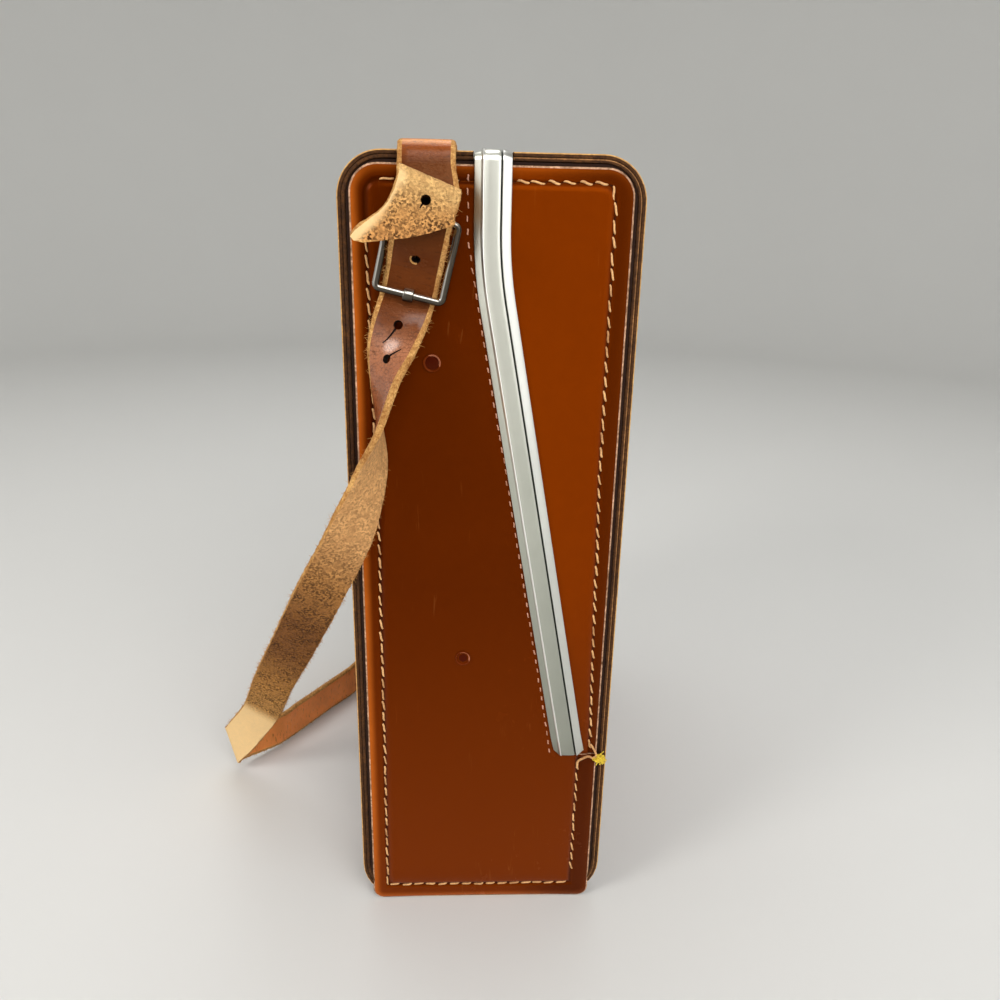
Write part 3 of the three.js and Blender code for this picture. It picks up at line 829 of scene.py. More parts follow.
def buckle_finish(name, tone):
    """Dark nickel with painted light: lighter on faces that turn up and to the rear, darker on faces that
    turn down.
    """
    material, sheet = new_material(name)
    wear = use_wear(sheet)
    facing = sheet.add("ShaderNodeTexCoord").outputs["Normal"]
    parts = sheet.add("ShaderNodeSeparateXYZ", {"Vector": facing}).outputs
    # Painted light and shade by facing: up and rear faces lighter, down faces darker.
    worn = sheet.minus(parts["Z"], sheet.times(parts["X"], 0.7))
    skin = sheet.ramp(sheet.spread(worn, -1.0, 1.0), [
        (0.3, srgb(58, 52, 46)), (0.52, tone), (0.68, srgb(214, 210, 202)), (0.9, srgb(250, 248, 242)),
    ])
    skin = sheet.mix(sheet.times(wear["Dull"], 0.5), skin, srgb(84, 76, 66))
    finish_metal(sheet, wear, skin, 0.12, 0.24)
    return material


def rail_finish(name, tone):
    """Drawn metal with painted light: a painted highlight on its ridge, painted shade in its groove, slightly
    darker flanges, and painted light that is strongest at the top and falls towards the foot.
    """
    material, sheet = new_material(name)
    wear = use_wear(sheet)
    place = sheet.spread(sheet.stored("aside"), 1.0, -1.0)
    # Painted highlight on the ridge, and painted shade in the groove
    bright = srgb(255, 254, 250)
    groove = srgb(40, 44, 42)
    across = sheet.ramp(place, [
        (0.0, srgb(236, 235, 226)), (0.19, srgb(236, 236, 227)), (0.21, bright), (0.26, bright),
        (0.275, tone), (0.69, srgb(236, 236, 228)), (0.71, groove), (0.732, groove),
        (0.745, srgb(238, 238, 234)),
    ])
    # Painted light: brightest at the top of the rail, darker towards its foot.
    painted_height_light = sheet.ramp(sheet.spread(sheet.height(), 0.08, 0.31), [
        (0.0, srgb(172, 175, 170)), (0.5, srgb(204, 206, 202)), (0.85, srgb(250, 250, 248)),
    ])
    # How far the painted light by height reaches across: not on the ridge, half on the front flange
    painted_light_reach = sheet.ramp(place, [
        (0.19, grey(1)), (0.21, grey(0.15)), (0.26, grey(0.15)),
        (0.275, grey(1)), (0.73, grey(1)), (0.75, grey(0.5)),
    ])
    skin = sheet.mix(painted_light_reach, across, painted_height_light, "MULTIPLY")
    skin = sheet.mix(sheet.times(wear["Dull"], 0.15), skin, srgb(150, 154, 144), "MULTIPLY")
    finish_metal(sheet, wear, skin, 0.28, 0.36)
    return material


def rivet_material(name, tone):
    """Lacquered rivet head with worn spots."""
    material, sheet = new_material(name)
    grain = use_grain(sheet, Clouds_per_metre=300.0)
    skin = sheet.mix(sheet.times(grain["Dye"], 0.3), tone, srgb(64, 16, 2))
    normal = sheet.bump(grain["Height"], 0.1, 0.1 * MM)
    roughness = sheet.spread(grain["Dye"], 0, 1, 0.14, 0.22)
    sheet.finish(skin, roughness, normal, Specular_IOR_Level=0.3, Specular_Tint=srgb(255, 150, 90))
    return material


def floor_material(name, tone):
    material, sheet = new_material(name)
    cloud = sheet.noise(sheet.place(), 3.0, 2.0)
    skin = sheet.mix(sheet.spread(cloud, 0.35, 0.65, 0.0, 0.05), tone, srgb(200, 200, 198))
    weave = sheet.noise(sheet.place(), 900.0, 2.0)
    sheet.finish(skin, sheet.spread(cloud, 0.3, 0.7, 0.8, 0.9), sheet.bump(weave, 0.05, 0.1 * MM))
    return material


def kept_material(name):
    """The finish of that name, made the first time that it is asked for."""
    tones = settings().finish
    finishes = {
        "cut_edge": (fibre_leather, tones.edge_deep, tones.edge_light),
        "worn_edge": (fibre_leather, srgb(172, 124, 70), tones.worn, 0.7),
        "inner_edge": (fibre_leather, tones.edge_light, srgb(190, 136, 84), 0.7),
        "suede_lining": (fibre_leather, tones.edge_deep, tones.lining, 0.9, 1300.0, 0.3),
        "crevice_leather": (fibre_leather, tones.crevice_shade, tones.edge_deep, 0.85),
        "panel_rim": (fibre_leather, tones.edge_light, tones.rim, 0.6, 600.0, 0.3),
        # Painted shade: the dark discs in the needle holes
        "needle_hole": (fibre_leather, srgb(24, 8, 2), tones.crevice_shade),
        "strap_edge": (fibre_leather, srgb(150, 92, 40), tones.worn, 0.85, 1100.0, 0.8),
        # Painted shade: near-black walls inside the punched holes and tears
        "hole_wall": (fibre_leather, srgb(14, 6, 3), srgb(38, 18, 8)),
        "polished_body_leather": (panel_leather, tones.body_deep, tones.body_light, tones.body_low),
        "polished_lid_leather": (panel_leather, tones.lid_deep, tones.lid_light, tones.lid_low_painted_shade),
        "worn_wall_leather": (wall_leather, tones.wall_deep, tones.wall_light),
        "sewing_thread": (thread_material, tones.thread),
        "rail_thread": (thread_material, tones.rail_thread),
        "frayed_thread": (thread_material, tones.tuft),
        "drawn_rail_metal": (rail_finish, tones.rail),
        "clasp_metal": (clasp_finish, tones.rail),
        "dark_nickel": (buckle_finish, tones.buckle),
        "lacquered_rivet": (rivet_material, tones.rivet),
        "rivet_cup": (rivet_material, tones.rivet_cup),
        # Painted highlight crescent on the rivets
        "worn_rivet": (rivet_material, tones.rivet_glint),
        "studio_floor": (floor_material, tones.floor),
    }
    maker, *values = finishes[name]
    return bpy.data.materials.get(name) or maker(name, *values)


# Lines that the case is cut and sewn along


def rail_x(z):
    """Where the rail's middle is at a height."""
    rail = settings().rail
    slope = rail.foot_x / (rail.corner_height - rail.foot_z)
    return max(0, (rail.corner_height - z) * slope)


def lid_starts(z, clearance):
    """Where the lid's end panel starts behind the rail at a height."""
    rail = settings().rail
    return rail_x(z) + rail.panel_overhang - rail.width / 2 + clearance


PANEL_TOP_RADIUS = 9.5 * MM
PANEL_BOTTOM_RADIUS = 4.8 * MM


def inside_outline(x, z, half, low, high, top_radius, bottom_radius):
    """How far a point is inside an upright outline with rounded corners."""
    middle = (low + high) / 2
    radius = top_radius if z > middle else bottom_radius
    beside = abs(x) - (half - radius)
    above = abs(z - middle) - (high - middle - radius)
    outside = math.hypot(max(beside, 0), max(above, 0))
    return radius - outside - min(max(beside, above), 0)


def outline_distance(x, z):
    """How far a point of an end panel is inside the panel's outline."""
    case = settings().case
    return inside_outline(
        x, z, case.panel_half, case.panel_foot, case.panel_top, PANEL_TOP_RADIUS, PANEL_BOTTOM_RADIUS
    )


def line_at(points, z):
    """The x of a line of (z, x) points at a height, in metres."""
    for (low_z, low_x), (high_z, high_x) in zip(points, points[1:]):
        if z <= high_z * MM:
            share = max(0, (z / MM - low_z) / (high_z - low_z))
            return (low_x + (high_x - low_x) * share) * MM
    return points[-1][1] * MM


BODY_LEFT_LINE = [(8, -40.6), (170, -40.2), (289, -41.8)]
BODY_RIGHT_LINE = [(8, 39.0), (75, 39.3)]
LID_RIGHT_LINE = [(75, 44), (195, 41), (286, 40.6)]
SEWN_BOTTOM = 8 * MM
SEWN_TOP = 296 * MM
SEWN_CORNER = 5 * MM


def sewn_distance(x, z):
    """How far a point of an end panel is inside the sewn line."""
    left = x - line_at(BODY_LEFT_LINE, z)
    right_line = BODY_RIGHT_LINE if z < settings().case.hinge_height else LID_RIGHT_LINE
    right = line_at(right_line, z) - x
    top = SEWN_TOP - z
    side = min(left, right)
    if side < SEWN_CORNER and top < SEWN_CORNER:
        rounded = SEWN_CORNER - math.hypot(SEWN_CORNER - side, SEWN_CORNER - top)
        return min(rounded, z - SEWN_BOTTOM)
    return min(side, top, z - SEWN_BOTTOM)


GROOVE_HALF = 1.3 * MM
BORDER_RISE = 2.8 * MM


def groove_share(x, z):
    """1 in the middle of the sewn groove, 0 away from it."""
    distance = abs(sewn_distance(x, z))
    if distance >= GROOVE_HALF:
        return 0.0
    return math.cos(math.pi / 2 * distance / GROOVE_HALF) ** 2


# Reach and fall-off of the painted highlight on the rolled edge
RIM_HIGHLIGHT_REACH = 4 * MM
RIM_HIGHLIGHT_FALL = 3 * MM


def painted_highlight_share(x, z):
    """Painted highlight on the rolled edge: strongest at the rear and the foot, where the light from the left
    catches the roll.
    """
    case = settings().case
    sides = (
        (x + case.panel_half, 1.0), (z - case.panel_foot, 0.8),
        (case.panel_top - z, 0.3), (case.panel_half - x, 0.12),
    )
    nearness = [math.exp(-max(0, away) / RIM_HIGHLIGHT_FALL) for away, _ in sides]
    strength = sum(near * share for near, (_, share) in zip(nearness, sides)) / sum(nearness)
    return strength * (1 - smooth_step(0.6 * MM, RIM_HIGHLIGHT_REACH, outline_distance(x, z)))


def shade_share(x, z):
    """Painted shade on the panel: in its sewn groove, and on its front border."""
    border = 1 - smooth_step(-1.5 * MM, 1.5 * MM, sewn_distance(x, z))
    front = smooth_step(5 * MM, 40 * MM, x)
    return max(groove_share(x, z), 0.85 * border * front)


def panel_drop(x, z):
    """How far the end panel's face lies below its middle at a point."""
    case = settings().case
    edge = outline_distance(x, z)
    drop = 0.0
    if edge < case.rim_width:
        share = 1 - max(0, edge) / case.rim_width
        drop += (case.rim_drop - case.border_drop) * (1 - math.sqrt(max(0, 1 - share * share)))
    drop += case.border_drop * (1 - smooth_step(0, BORDER_RISE, sewn_distance(x, z)))
    drop += case.groove_drop * groove_share(x, z)
    wave = noise.noise(Vector((x * 26, 3.1, z * 26)))
    return drop + 0.1 * MM * (1 + wave)


# Walls


WALL_START_ON_TOP = 6.4 * MM
FRONT_WALL_FOOT = 8 * MM
FOOT_NOTCH = 6 * MM
FOOT_TUCK = 103 * MM
LINING_SLOT = 1
CUT_SLOT = 2
WORN_SLOT = 3
INNER_LINE_SLOT = 4
END_WAVE = 0.15 * MM
WAVES_PER_METRE = 60
HINGE_ROWS = [66, 68, 70, 72, 73.5, 75, 76.5, 78, 80, 82, 84]
EDGE_ROUNDING = 0.4 * MM
TOP_EDGE_STEPS = 12
BOTTOM_EDGE_STEPS = 8
CUTS_UP_WALLS = 47
CUTS_ALONG_DEPTH = 15


def rounded_tube(name):
    """The outside of the case without its ends: a block with rounded long edges, cut into rows."""
    case = settings().case
    half = case.depth / 2
    tube = add_block(name, (-half, -case.wall_end, 0), (half, case.wall_end, case.height))
    with Editing(tube, "EDGE") as edit:
        edit.pick(lambda e: edge_runs(e, 1) and edge_middle(e).z > case.height / 2)
        bpy.ops.mesh.bevel(offset=case.top_radius, segments=TOP_EDGE_STEPS)
        edit.pick(lambda e: edge_runs(e, 1) and edge_middle(e).z < case.bottom_radius)
        bpy.ops.mesh.bevel(offset=case.bottom_radius, segments=BOTTOM_EDGE_STEPS)
    with Editing(tube, "FACE") as edit:
        edit.pick(lambda f: abs(f.normal.y) > 0.9)
        bpy.ops.mesh.delete(type="FACE")
    with Editing(tube, "EDGE") as edit:
        edit.pick(lambda e: edge_runs(e, 2) and e.calc_length() > case.height / 2)
        bpy.ops.mesh.subdivide(number_cuts=CUTS_UP_WALLS)
        edit.pick(lambda e: edge_runs(e, 0) and e.calc_length() > case.depth / 2)
        bpy.ops.mesh.subdivide(number_cuts=CUTS_ALONG_DEPTH)
    with Editing(tube, "FACE") as edit:
        for cut in (-WALL_START_ON_TOP, WALL_START_ON_TOP):
            edit.pick(lambda f: f.calc_center_median().z > case.height - 0.1 * MM)
            bpy.ops.mesh.bisect(plane_co=(cut, 0, 0), plane_no=(1, 0, 0))
        for height in [FRONT_WALL_FOOT / MM] + HINGE_ROWS:
            edit.pick(lambda f: f.normal.x > 0.9)
            bpy.ops.mesh.bisect(plane_co=(0, 0, height * MM), plane_no=(0, 0, 1))
    return tube


def on_front_wall(face):
    middle = face.calc_center_median()
    return middle.x > WALL_START_ON_TOP and middle.z > FRONT_WALL_FOOT


def on_body_wall(face):
    middle = face.calc_center_median()
    on_top = middle.z > settings().case.height - 0.1 * MM
    return not on_front_wall(face) and not (on_top and middle.x > -WALL_START_ON_TOP)


def tuck_ends(point, end, tuck):
    """A wall's end waves a little, and goes behind the end panel at the foot."""
    if abs(point.y) < end - 0.1 * MM:
        return point
    wave = END_WAVE * noise.noise(Vector((point.x * WAVES_PER_METRE, point.y, point.z * WAVES_PER_METRE)))
    reach = tuck if point.z < FOOT_NOTCH else end + wave
    return Vector((point.x, math.copysign(reach, point.y), point.z))


def wall_piece(name, tube, keeps):
    """One wall of two leather layers with rounded, rubbed edges."""
    case = settings().case
    outer = copy_piece(tube, name)
    with Editing(outer, "FACE") as edit:
        edit.pick(lambda f: not keeps(f))
        bpy.ops.mesh.delete(type="FACE")
    give_finishes(outer, "worn_wall_leather", "suede_lining", "cut_edge", "worn_edge", "inner_edge")
    inner = copy_piece(outer, name + "_inner")
    for layer in (outer, inner):
        reshape(layer, lambda p: tuck_ends(p, case.wall_end, FOOT_TUCK))
    for polygon in inner.data.polygons:
        polygon.material_index = LINING_SLOT
    apply_modifier(
        outer, "SOLIDIFY", thickness=case.outer_layer, offset=-1, use_even_offset=True,
        material_offset=1, material_offset_rim=2,
    )
    sunk = case.wall - case.inner_layer
    apply_modifier(
        inner, "SOLIDIFY", thickness=case.inner_layer, offset=-1 - 2 * sunk / case.inner_layer,
        use_even_offset=True, material_offset=0, material_offset_rim=1,
    )
    wall = join(name, [outer, inner])
    with Editing(wall, "EDGE") as edit:
        edit.pick(lambda e: is_end_rim(e, FOOT_TUCK - 0.5 * MM))
        bpy.ops.mesh.bevel(offset=EDGE_ROUNDING, segments=2, material=WORN_SLOT)
    for polygon in wall.data.polygons:
        depth = wall_depth(polygon.center)
        if polygon.material_index == WORN_SLOT and depth > case.outer_layer / 2:
            beside_line = case.outer_layer < depth < case.wall - case.inner_layer / 2
            pale = beside_line and polygon.center.x > 0
            polygon.material_index = INNER_LINE_SLOT if pale else CUT_SLOT
    smooth(wall)
    return wall


def wall_depth(point):
    """How far a point of the walls lies inside the case's outside."""
    case = settings().case
    return inside_outline(
        point.x, point.z, case.depth / 2, 0, case.height, case.top_radius, case.bottom_radius
    )


def is_end_rim(edge, from_y):
    """An edge round a wall's cut end."""
    if abs(edge_middle(edge).y) < from_y or len(edge.link_faces) != 2:
        return False
    return edge.calc_face_angle(0) > math.radians(50) and not edge_runs(edge, 1)


class CASE_OT_walls(bpy.types.Operator):
    """Model the leather walls of the body and the lid"""

    bl_idname = "camera_case.walls"
    bl_label = "Walls"

    def execute(self, context):
        tube = rounded_tube("wall_tube")
        body = wall_piece("body_wall", tube, on_body_wall)
        settle(body, "case", "body_leather", "body_band")
        front = wall_piece("front_wall", tube, on_front_wall)
        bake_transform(front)
        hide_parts("lid_band")
        bpy.data.objects.remove(tube)
        return {"FINISHED"}


# End panels


PARTING_GAP = 0.7 * MM
BACKING_FACE = 103.45 * MM
BACKING_REAR = 102 * MM
BACKING_FOOT = 3 * MM
BACKING_TOP_RADIUS = 12 * MM
BACKING_BOTTOM_RADIUS = 15 * MM
ARCH_RISE = 0.9 * MM
PANEL_FINISHES = ("panel_rim", "crevice_leather", "suede_lining")
RIM_SLOT = 1
CREVICE_SHADE_SLOT = 2
REAR_SLOT = 3
RIM_LINE = 0.75 * MM
LONG_EDGE = 50 * MM
CUTS_UP_PANEL = 110
CUTS_ALONG_FOOT = 30
RING_STEPS = [0.12, 0.2, 0.3, 0.4, 0.45, 0.5, 0.55, 0.6] + [0.42] * 16 + [4, 6, 8, 10]


def rounded_plane(name, low, high, place_y, top_radius, bottom_radius):
    plane = add_upright_plane(name, low, high, place_y)
    middle = (low[1] + high[1]) / 2
    with Editing(plane, "VERT") as edit:
        edit.pick(lambda v: v.co.z > middle)
        bpy.ops.mesh.bevel(offset=top_radius, segments=9, affect="VERTICES")
        edit.pick(lambda v: v.co.z < low[1] + 0.1 * MM)
        bpy.ops.mesh.bevel(offset=bottom_radius, segments=8, affect="VERTICES")
    return plane


def ring_place(point, inside):
    """Where a point of the ring before goes on the ring that lies this far inside the outline."""
    case = settings().case
    upper = point.z > case.panel_top / 2
    radius = PANEL_TOP_RADIUS if upper else PANEL_BOTTOM_RADIUS
    centre = Vector((
        math.copysign(case.panel_half - radius, point.x),
        point.y,
        case.panel_top - radius if upper else case.panel_foot + radius,
    ))
    away = point - centre
    in_corner = away.x * point.x > 0 and (away.z > 0) == upper
    if inside < radius and in_corner and away.length > 0:
        return centre + away.normalized() * (radius - inside)
    reach = case.panel_half - inside
    x = min(reach, max(-reach, point.x))
    z = min(case.panel_top - inside, max(case.panel_foot + inside, point.z))
    return Vector((x, point.y, z))


def panel_face():
    """The near end's face: rings that follow its outline, then its heights."""
    case = settings().case
    face = rounded_plane(
        "panel_face", (-case.panel_half, case.panel_foot), (case.panel_half, case.panel_top),
        -case.panel_face, PANEL_TOP_RADIUS, PANEL_BOTTOM_RADIUS,
    )
    with Editing(face, "EDGE") as edit:
        edit.pick(lambda e: edge_runs(e, 2) and e.calc_length() > LONG_EDGE)
        bpy.ops.mesh.subdivide(number_cuts=CUTS_UP_PANEL)
        edit.pick(lambda e: edge_runs(e, 0) and e.calc_length() > LONG_EDGE)
        bpy.ops.mesh.subdivide(number_cuts=CUTS_ALONG_FOOT)
    with Editing(face, "FACE") as edit:
        edit.pick(lambda f: True)
        bpy.ops.mesh.dissolve_faces()
        inside = 0
        for step in RING_STEPS:
            inside += step * MM
            edit.pick(lambda f: len(f.verts) > 8)
            bpy.ops.mesh.inset(thickness=0.01 * MM)
            edit.shape(lambda p: ring_place(p, inside))
            bpy.ops.mesh.remove_doubles(threshold=0.005 * MM)
    reshape(face, lambda p: Vector((p.x, panel_drop(p.x, p.z) - case.panel_face, p.z + foot_arch(p))))
    return face


def foot_arch(point):
    """How far the lower edge rises between the corners that the case stands on."""
    case = settings().case
    share = point.x / case.panel_half
    return ARCH_RISE * max(0, 1 - share * share) * (1 - smooth_step(0, SEWN_BOTTOM, point.z))


def in_lid(point):
    return point.z > settings().case.hinge_height and point.x > lid_starts(point.z, 0)


def cut_to_share(piece, for_lid):
    """Cuts an end along the hinge line and behind the rail, and keeps the lid's or the body's share."""
    rail = settings().rail
    gap = PARTING_GAP if for_lid else 0
    hinge = settings().case.hinge_height + gap
    low = Vector((lid_starts(hinge, gap), 0, hinge))
    corner = Vector((lid_starts(rail.corner_height, gap), 0, rail.corner_height))
    slant = corner - low
    cuts = [
        (low, Vector((0, 0, 1))),
        (corner, Vector((1, 0, 0))),
        (low, Vector((slant.z, 0, -slant.x)).normalized()),
    ]
    with Editing(piece, "FACE") as edit:
        for place, normal in cuts:
            bpy.ops.mesh.select_all(action="SELECT")
            bpy.ops.mesh.bisect(plane_co=place, plane_no=normal)
        edit.pick(lambda f: in_lid(f.calc_center_median() + Vector((-gap, 0, -gap))) != for_lid)
        bpy.ops.mesh.delete(type="FACE")


def close_back(piece, rear_y):
    """Takes the face's open edges straight back and closes them."""
    with Editing(piece, "EDGE") as edit:
        edit.pick(lambda e: e.is_boundary)
        bpy.ops.mesh.extrude_region()
        edit.shape(lambda p: Vector((p.x, rear_y, p.z)))
        bpy.ops.mesh.edge_face_add()
    with Editing(piece, "FACE") as edit:
        bpy.ops.mesh.select_all(action="SELECT")
        bpy.ops.mesh.normals_make_consistent(inside=False)


def end_share(name, face, for_lid, leather):
    """The near end's panel for the lid or the body, on its backing, whose front is coloured dark as painted
    shade in the gap round the panel.
    """
    case = settings().case
    front = copy_piece(face, name)
    cut_to_share(front, for_lid)
    close_back(front, -BACKING_FACE + 0.05 * MM)
    give_finishes(front, leather, *PANEL_FINISHES)
    for polygon in front.data.polygons:
        edge = outline_distance(polygon.center.x, polygon.center.z)
        if edge < RIM_LINE or abs(polygon.normal.y) < 0.3:
            polygon.material_index = RIM_SLOT
    backing = rounded_plane(
        name + "_backing", (-case.panel_half - MM, BACKING_FOOT), (case.panel_half + MM, case.panel_top + MM),
        -BACKING_FACE, BACKING_TOP_RADIUS, BACKING_BOTTOM_RADIUS,
    )
    cut_to_share(backing, for_lid)
    close_back(backing, -BACKING_REAR)
    give_finishes(backing, leather, *PANEL_FINISHES)
    for polygon in backing.data.polygons:
        # The backing's front faces take the dark painted shade of the gap.
        polygon.material_index = REAR_SLOT if polygon.normal.y > 0.5 else CREVICE_SHADE_SLOT
    panel = join(name, [front, backing])
    # The groove values are painted shade: in the sewn groove and on the front border.
    give_values(panel, "groove", lambda p: shade_share(p.x, p.z))
    # The rub values are the painted highlight on the rolled edge.
    give_values(panel, "rub", lambda p: painted_highlight_share(p.x, p.z))
    smooth(panel, 35)
    return panel


class CASE_OT_end_panels(bpy.types.Operator):
    """Model the sewn end panels of the body and the lid"""

    bl_idname = "camera_case.end_panels"
    bl_label = "End panels"

    def execute(self, context):
        face = panel_face()
        near_body = end_share("end_panel_near_leather", face, False, "polished_body_leather")
        near_lid = end_share("lid_panel_near_leather", face, True, "polished_lid_leather")
        far_body = mirrored_piece(near_body, "end_panel_far_leather")
        far_lid = mirrored_piece(near_lid, "lid_panel_far_leather")
        settle(near_body, "case", "body_leather", "end_panel_near")
        settle(far_body, "case", "body_leather", "end_panel_far")
        settle(near_lid, "lid", "lid_leather", "lid_panel_near")
        settle(far_lid, "lid", "lid_leather", "lid_panel_far")
        bpy.data.objects.remove(face)
        return {"FINISHED"}


# Stitching


class SewnLine:
    """A line of stitches on an end: its points, and how far each stitch slants from it."""

    def __init__(self, points, slant_degrees):
        self.points = [Vector((x * MM, 0, z * MM)) for x, z in points]
        self.slant = math.radians(slant_degrees)

    def walk(self, pitch):
        """The place and heading of each stitch."""
        wait = pitch / 2
        for start, end in zip(self.points, self.points[1:]):
            way = end - start
            heading = way.normalized()
            while wait <= way.length:
                yield start + heading * wait, heading
                wait += pitch
            wait -= way.length


BODY_LINES = [
    SewnLine([(-11, 296), (-37, 296)], 6),
    SewnLine([(-41.8, 283), (-40.2, 170), (-40.6, 9)], 17),
    SewnLine([(-40.2, 8), (38, 8)], 15),
    SewnLine([(39.3, 71.5), (39.0, 12)], 20),
]
LID_LINES = [
    SewnLine([(7, 296), (35.6, 296), (39.2, 294.4), (40.6, 290.6)], -8),
    SewnLine([(40.6, 290.6), (41, 195), (43.8, 80)], 20),
]
RAIL_LINE = [(-8.2, 299), (-8, 277.6), (-3.7, 251.6), (8.2, 186.6), (24.8, 92), (27.3, 77)]
RAIL_SLANT = 14
NEEDLE_HOLE_RADIUS = 0.36 * MM
NEEDLE_HOLE_DEPTH = 0.5 * MM
NEEDLE_HOLE_SUNK = 0.08 * MM
STITCH_TURN = 0.06
STITCH_SHIFT = 0.12
STITCH_LENGTHS = (0.9, 1.08)
STITCH_WIDTHS = (0.85, 1.12)
STITCH_TAPER = 0.45
STITCH_DIVE = 0.75
STITCH_SWAY = 0.3
STITCH_LIFT = 0.3


def stitch_template(name, reach, thickness):
    """One stitch: a cylinder along X whose ends dive into the leather."""
    stitch = add_cylinder(name, 8, thickness / 2, reach, rotation=ALONG_X)
    with Editing(stitch, "EDGE") as edit:
        edit.pick(lambda e: edge_runs(e, 0))
        bpy.ops.mesh.subdivide(number_cuts=5)

    def arched(point):
        share = 2 * point.x / reach
        thin = 1 - STITCH_TAPER * share ** 4
        rise = -STITCH_DIVE * thickness * share ** 4
        sway = -STITCH_SWAY * thickness * math.sin(math.pi * share)
        return Vector((point.x, point.y * thin - rise, point.z * thin + sway))

    reshape(stitch, arched)
    smooth(stitch, 60)
    return stitch


def needle_hole_template(name, radius):
    """One needle hole: a shallow dark disc that faces outwards, as painted shade in the hole."""
    hole = add_cylinder(name, 8, radius, NEEDLE_HOLE_DEPTH, rotation=ALONG_Y)
    with Editing(hole, "FACE") as edit:
        edit.pick(lambda f: f.normal.y < -0.9)
        bpy.ops.mesh.inset(thickness=radius * 0.4)
        bpy.ops.transform.translate(value=(0, 0.15 * MM, 0))
    give_finishes(hole, "needle_hole")
    return hole


def sew(name, template, hole, lines, pitch, lift, seed):
    """Copies the stitch along the lines on the near end, each turned and sized a little differently."""
    chance = random.Random(seed)
    case = settings().case
    copies = []
    for line in lines:
        for place, heading in line.walk(pitch):
            turn = math.atan2(heading.z, heading.x) + line.slant + chance.gauss(0, STITCH_TURN)
            stitch = copy_piece(template, "stitch")
            size = Matrix.Diagonal((chance.uniform(*STITCH_LENGTHS), 1, chance.uniform(*STITCH_WIDTHS), 1))
            rest = panel_drop(place.x, place.z) - case.panel_face - lift
            x = place.x + chance.gauss(0, STITCH_SHIFT) * MM
            z = place.z + chance.gauss(0, STITCH_SHIFT) * MM
            at = Vector((x, rest, z))
            stitch.data.transform(Matrix.Translation(at) @ Matrix.Rotation(-turn, 4, "Y") @ size)
            copies.append(stitch)
            if hole is None:
                continue
            pierced = place - heading * pitch / 2
            sunk = panel_drop(pierced.x, pierced.z) - case.panel_face + NEEDLE_HOLE_SUNK
            mark = copy_piece(hole, "needle_hole")
            mark.data.transform(Matrix.Translation((pierced.x, sunk, pierced.z)))
            copies.append(mark)
    return join(name, copies)


class CASE_OT_stitching(bpy.types.Operator):
    """Sew the end panels"""

    bl_idname = "camera_case.stitching"
    bl_label = "Stitching"

    def execute(self, context):
        sizes = settings().stitch
        main = stitch_template("main_stitch", sizes.length, sizes.thickness)
        give_finishes(main, "sewing_thread")
        small = stitch_template("rail_stitch", sizes.rail_length, sizes.rail_thickness)
        give_finishes(small, "rail_thread")
        lift = sizes.thickness * STITCH_LIFT
        hole = needle_hole_template("needle_hole", NEEDLE_HOLE_RADIUS)
        body = sew("body_stitches_near", main, hole, BODY_LINES, sizes.pitch, lift, sizes.seed)
        lid = sew("lid_stitches_near", main, hole, LID_LINES, sizes.pitch, lift, sizes.seed + 1)
        rail_line = [SewnLine(RAIL_LINE, RAIL_SLANT)]
        beside = sew("rail_stitches_near", small, None, rail_line, sizes.rail_pitch, 0, sizes.seed + 2)
        for piece, body_name, slot in (
            (body, "case", "body_leather"), (lid, "lid", "lid_leather"), (beside, "case", "body_leather"),
        ):
            far = mirrored_piece(piece, piece.name.replace("near", "far"))
            settle(piece, body_name, slot)
            settle(far, body_name, slot)
        for template in (main, small, hole):
            bpy.data.objects.remove(template)
        return {"FINISHED"}


# Rail and clasp


RAIL_PROFILE = [
    (-6.1, 0.0), (-6.1, 0.25), (-5.9, 0.42), (-4.1, 0.92), (-3.8, 1.1), (-3.55, 1.5), (-3.25, 1.75),
    (-2.95, 1.66), (-2.75, 1.38), (-2.45, 1.3), (-1.2, 1.4), (0, 1.44), (1.2, 1.4), (2.3, 1.28),
    (2.48, 1.15), (2.6, 0.65), (2.84, 0.65), (2.95, 1.3), (3.15, 1.55), (3.45, 1.5), (5.8, 0.6),
    (6.1, 0.4), (6.1, 0.0),
]
RAIL_SEAT = 0.3 * MM
STRAIGHT_STEPS = 12
CORNER_STEPS = 8
TOP_STEPS = 16
FOOT_LIFT = 1.8 * MM


def rail_stations():
    """The rail's middle from below its near foot, over the top and down to below the far foot."""
    case, rail = settings().case, settings().rail
    face = case.panel_face + RAIL_SEAT
    outwards = Vector((0, -1, 0))
    low = rail.corner_height - rail.corner_reach
    start = Vector((rail_x(low), 0, low))
    control = Vector((0, 0, rail.corner_height))
    end = Vector((0, 0, rail.corner_height + rail.corner_reach))
    below = rail.foot_z - 8 * MM
    line = []
    for index in range(STRAIGHT_STEPS):
        height = below + (low - below) * index / STRAIGHT_STEPS
        line.append(Vector((rail_x(height), 0, height)))
    for index in range(CORNER_STEPS + 1):
        share = index / CORNER_STEPS
        line.append(start.lerp(control, share).lerp(control.lerp(end, share), share))
    near = [(Vector((p.x, -face, p.z)), outwards) for p in line]
    top = case.height + MM - rail.height
    inside = rail.top_bend - rail.height / 2
    centre = Vector((0, -face + inside, top - inside))
    for index in range(TOP_STEPS + 1):
        turn = math.pi / 2 * index / TOP_STEPS
        out = Vector((0, -math.cos(turn), math.sin(turn)))
        near.append((centre + out * inside, out))
    far = [(Vector((at.x, -at.y, at.z)), Vector((out.x, -out.y, out.z))) for at, out in reversed(near)]
    places = near + far
    stations = []
    for index, (at, out) in enumerate(places):
        before = places[max(0, index - 1)][0]
        after = places[min(len(places) - 1, index + 1)][0]
        across = out.cross((after - before).normalized()).normalized()
        stations.append(Station(at, across, out))
    return stations


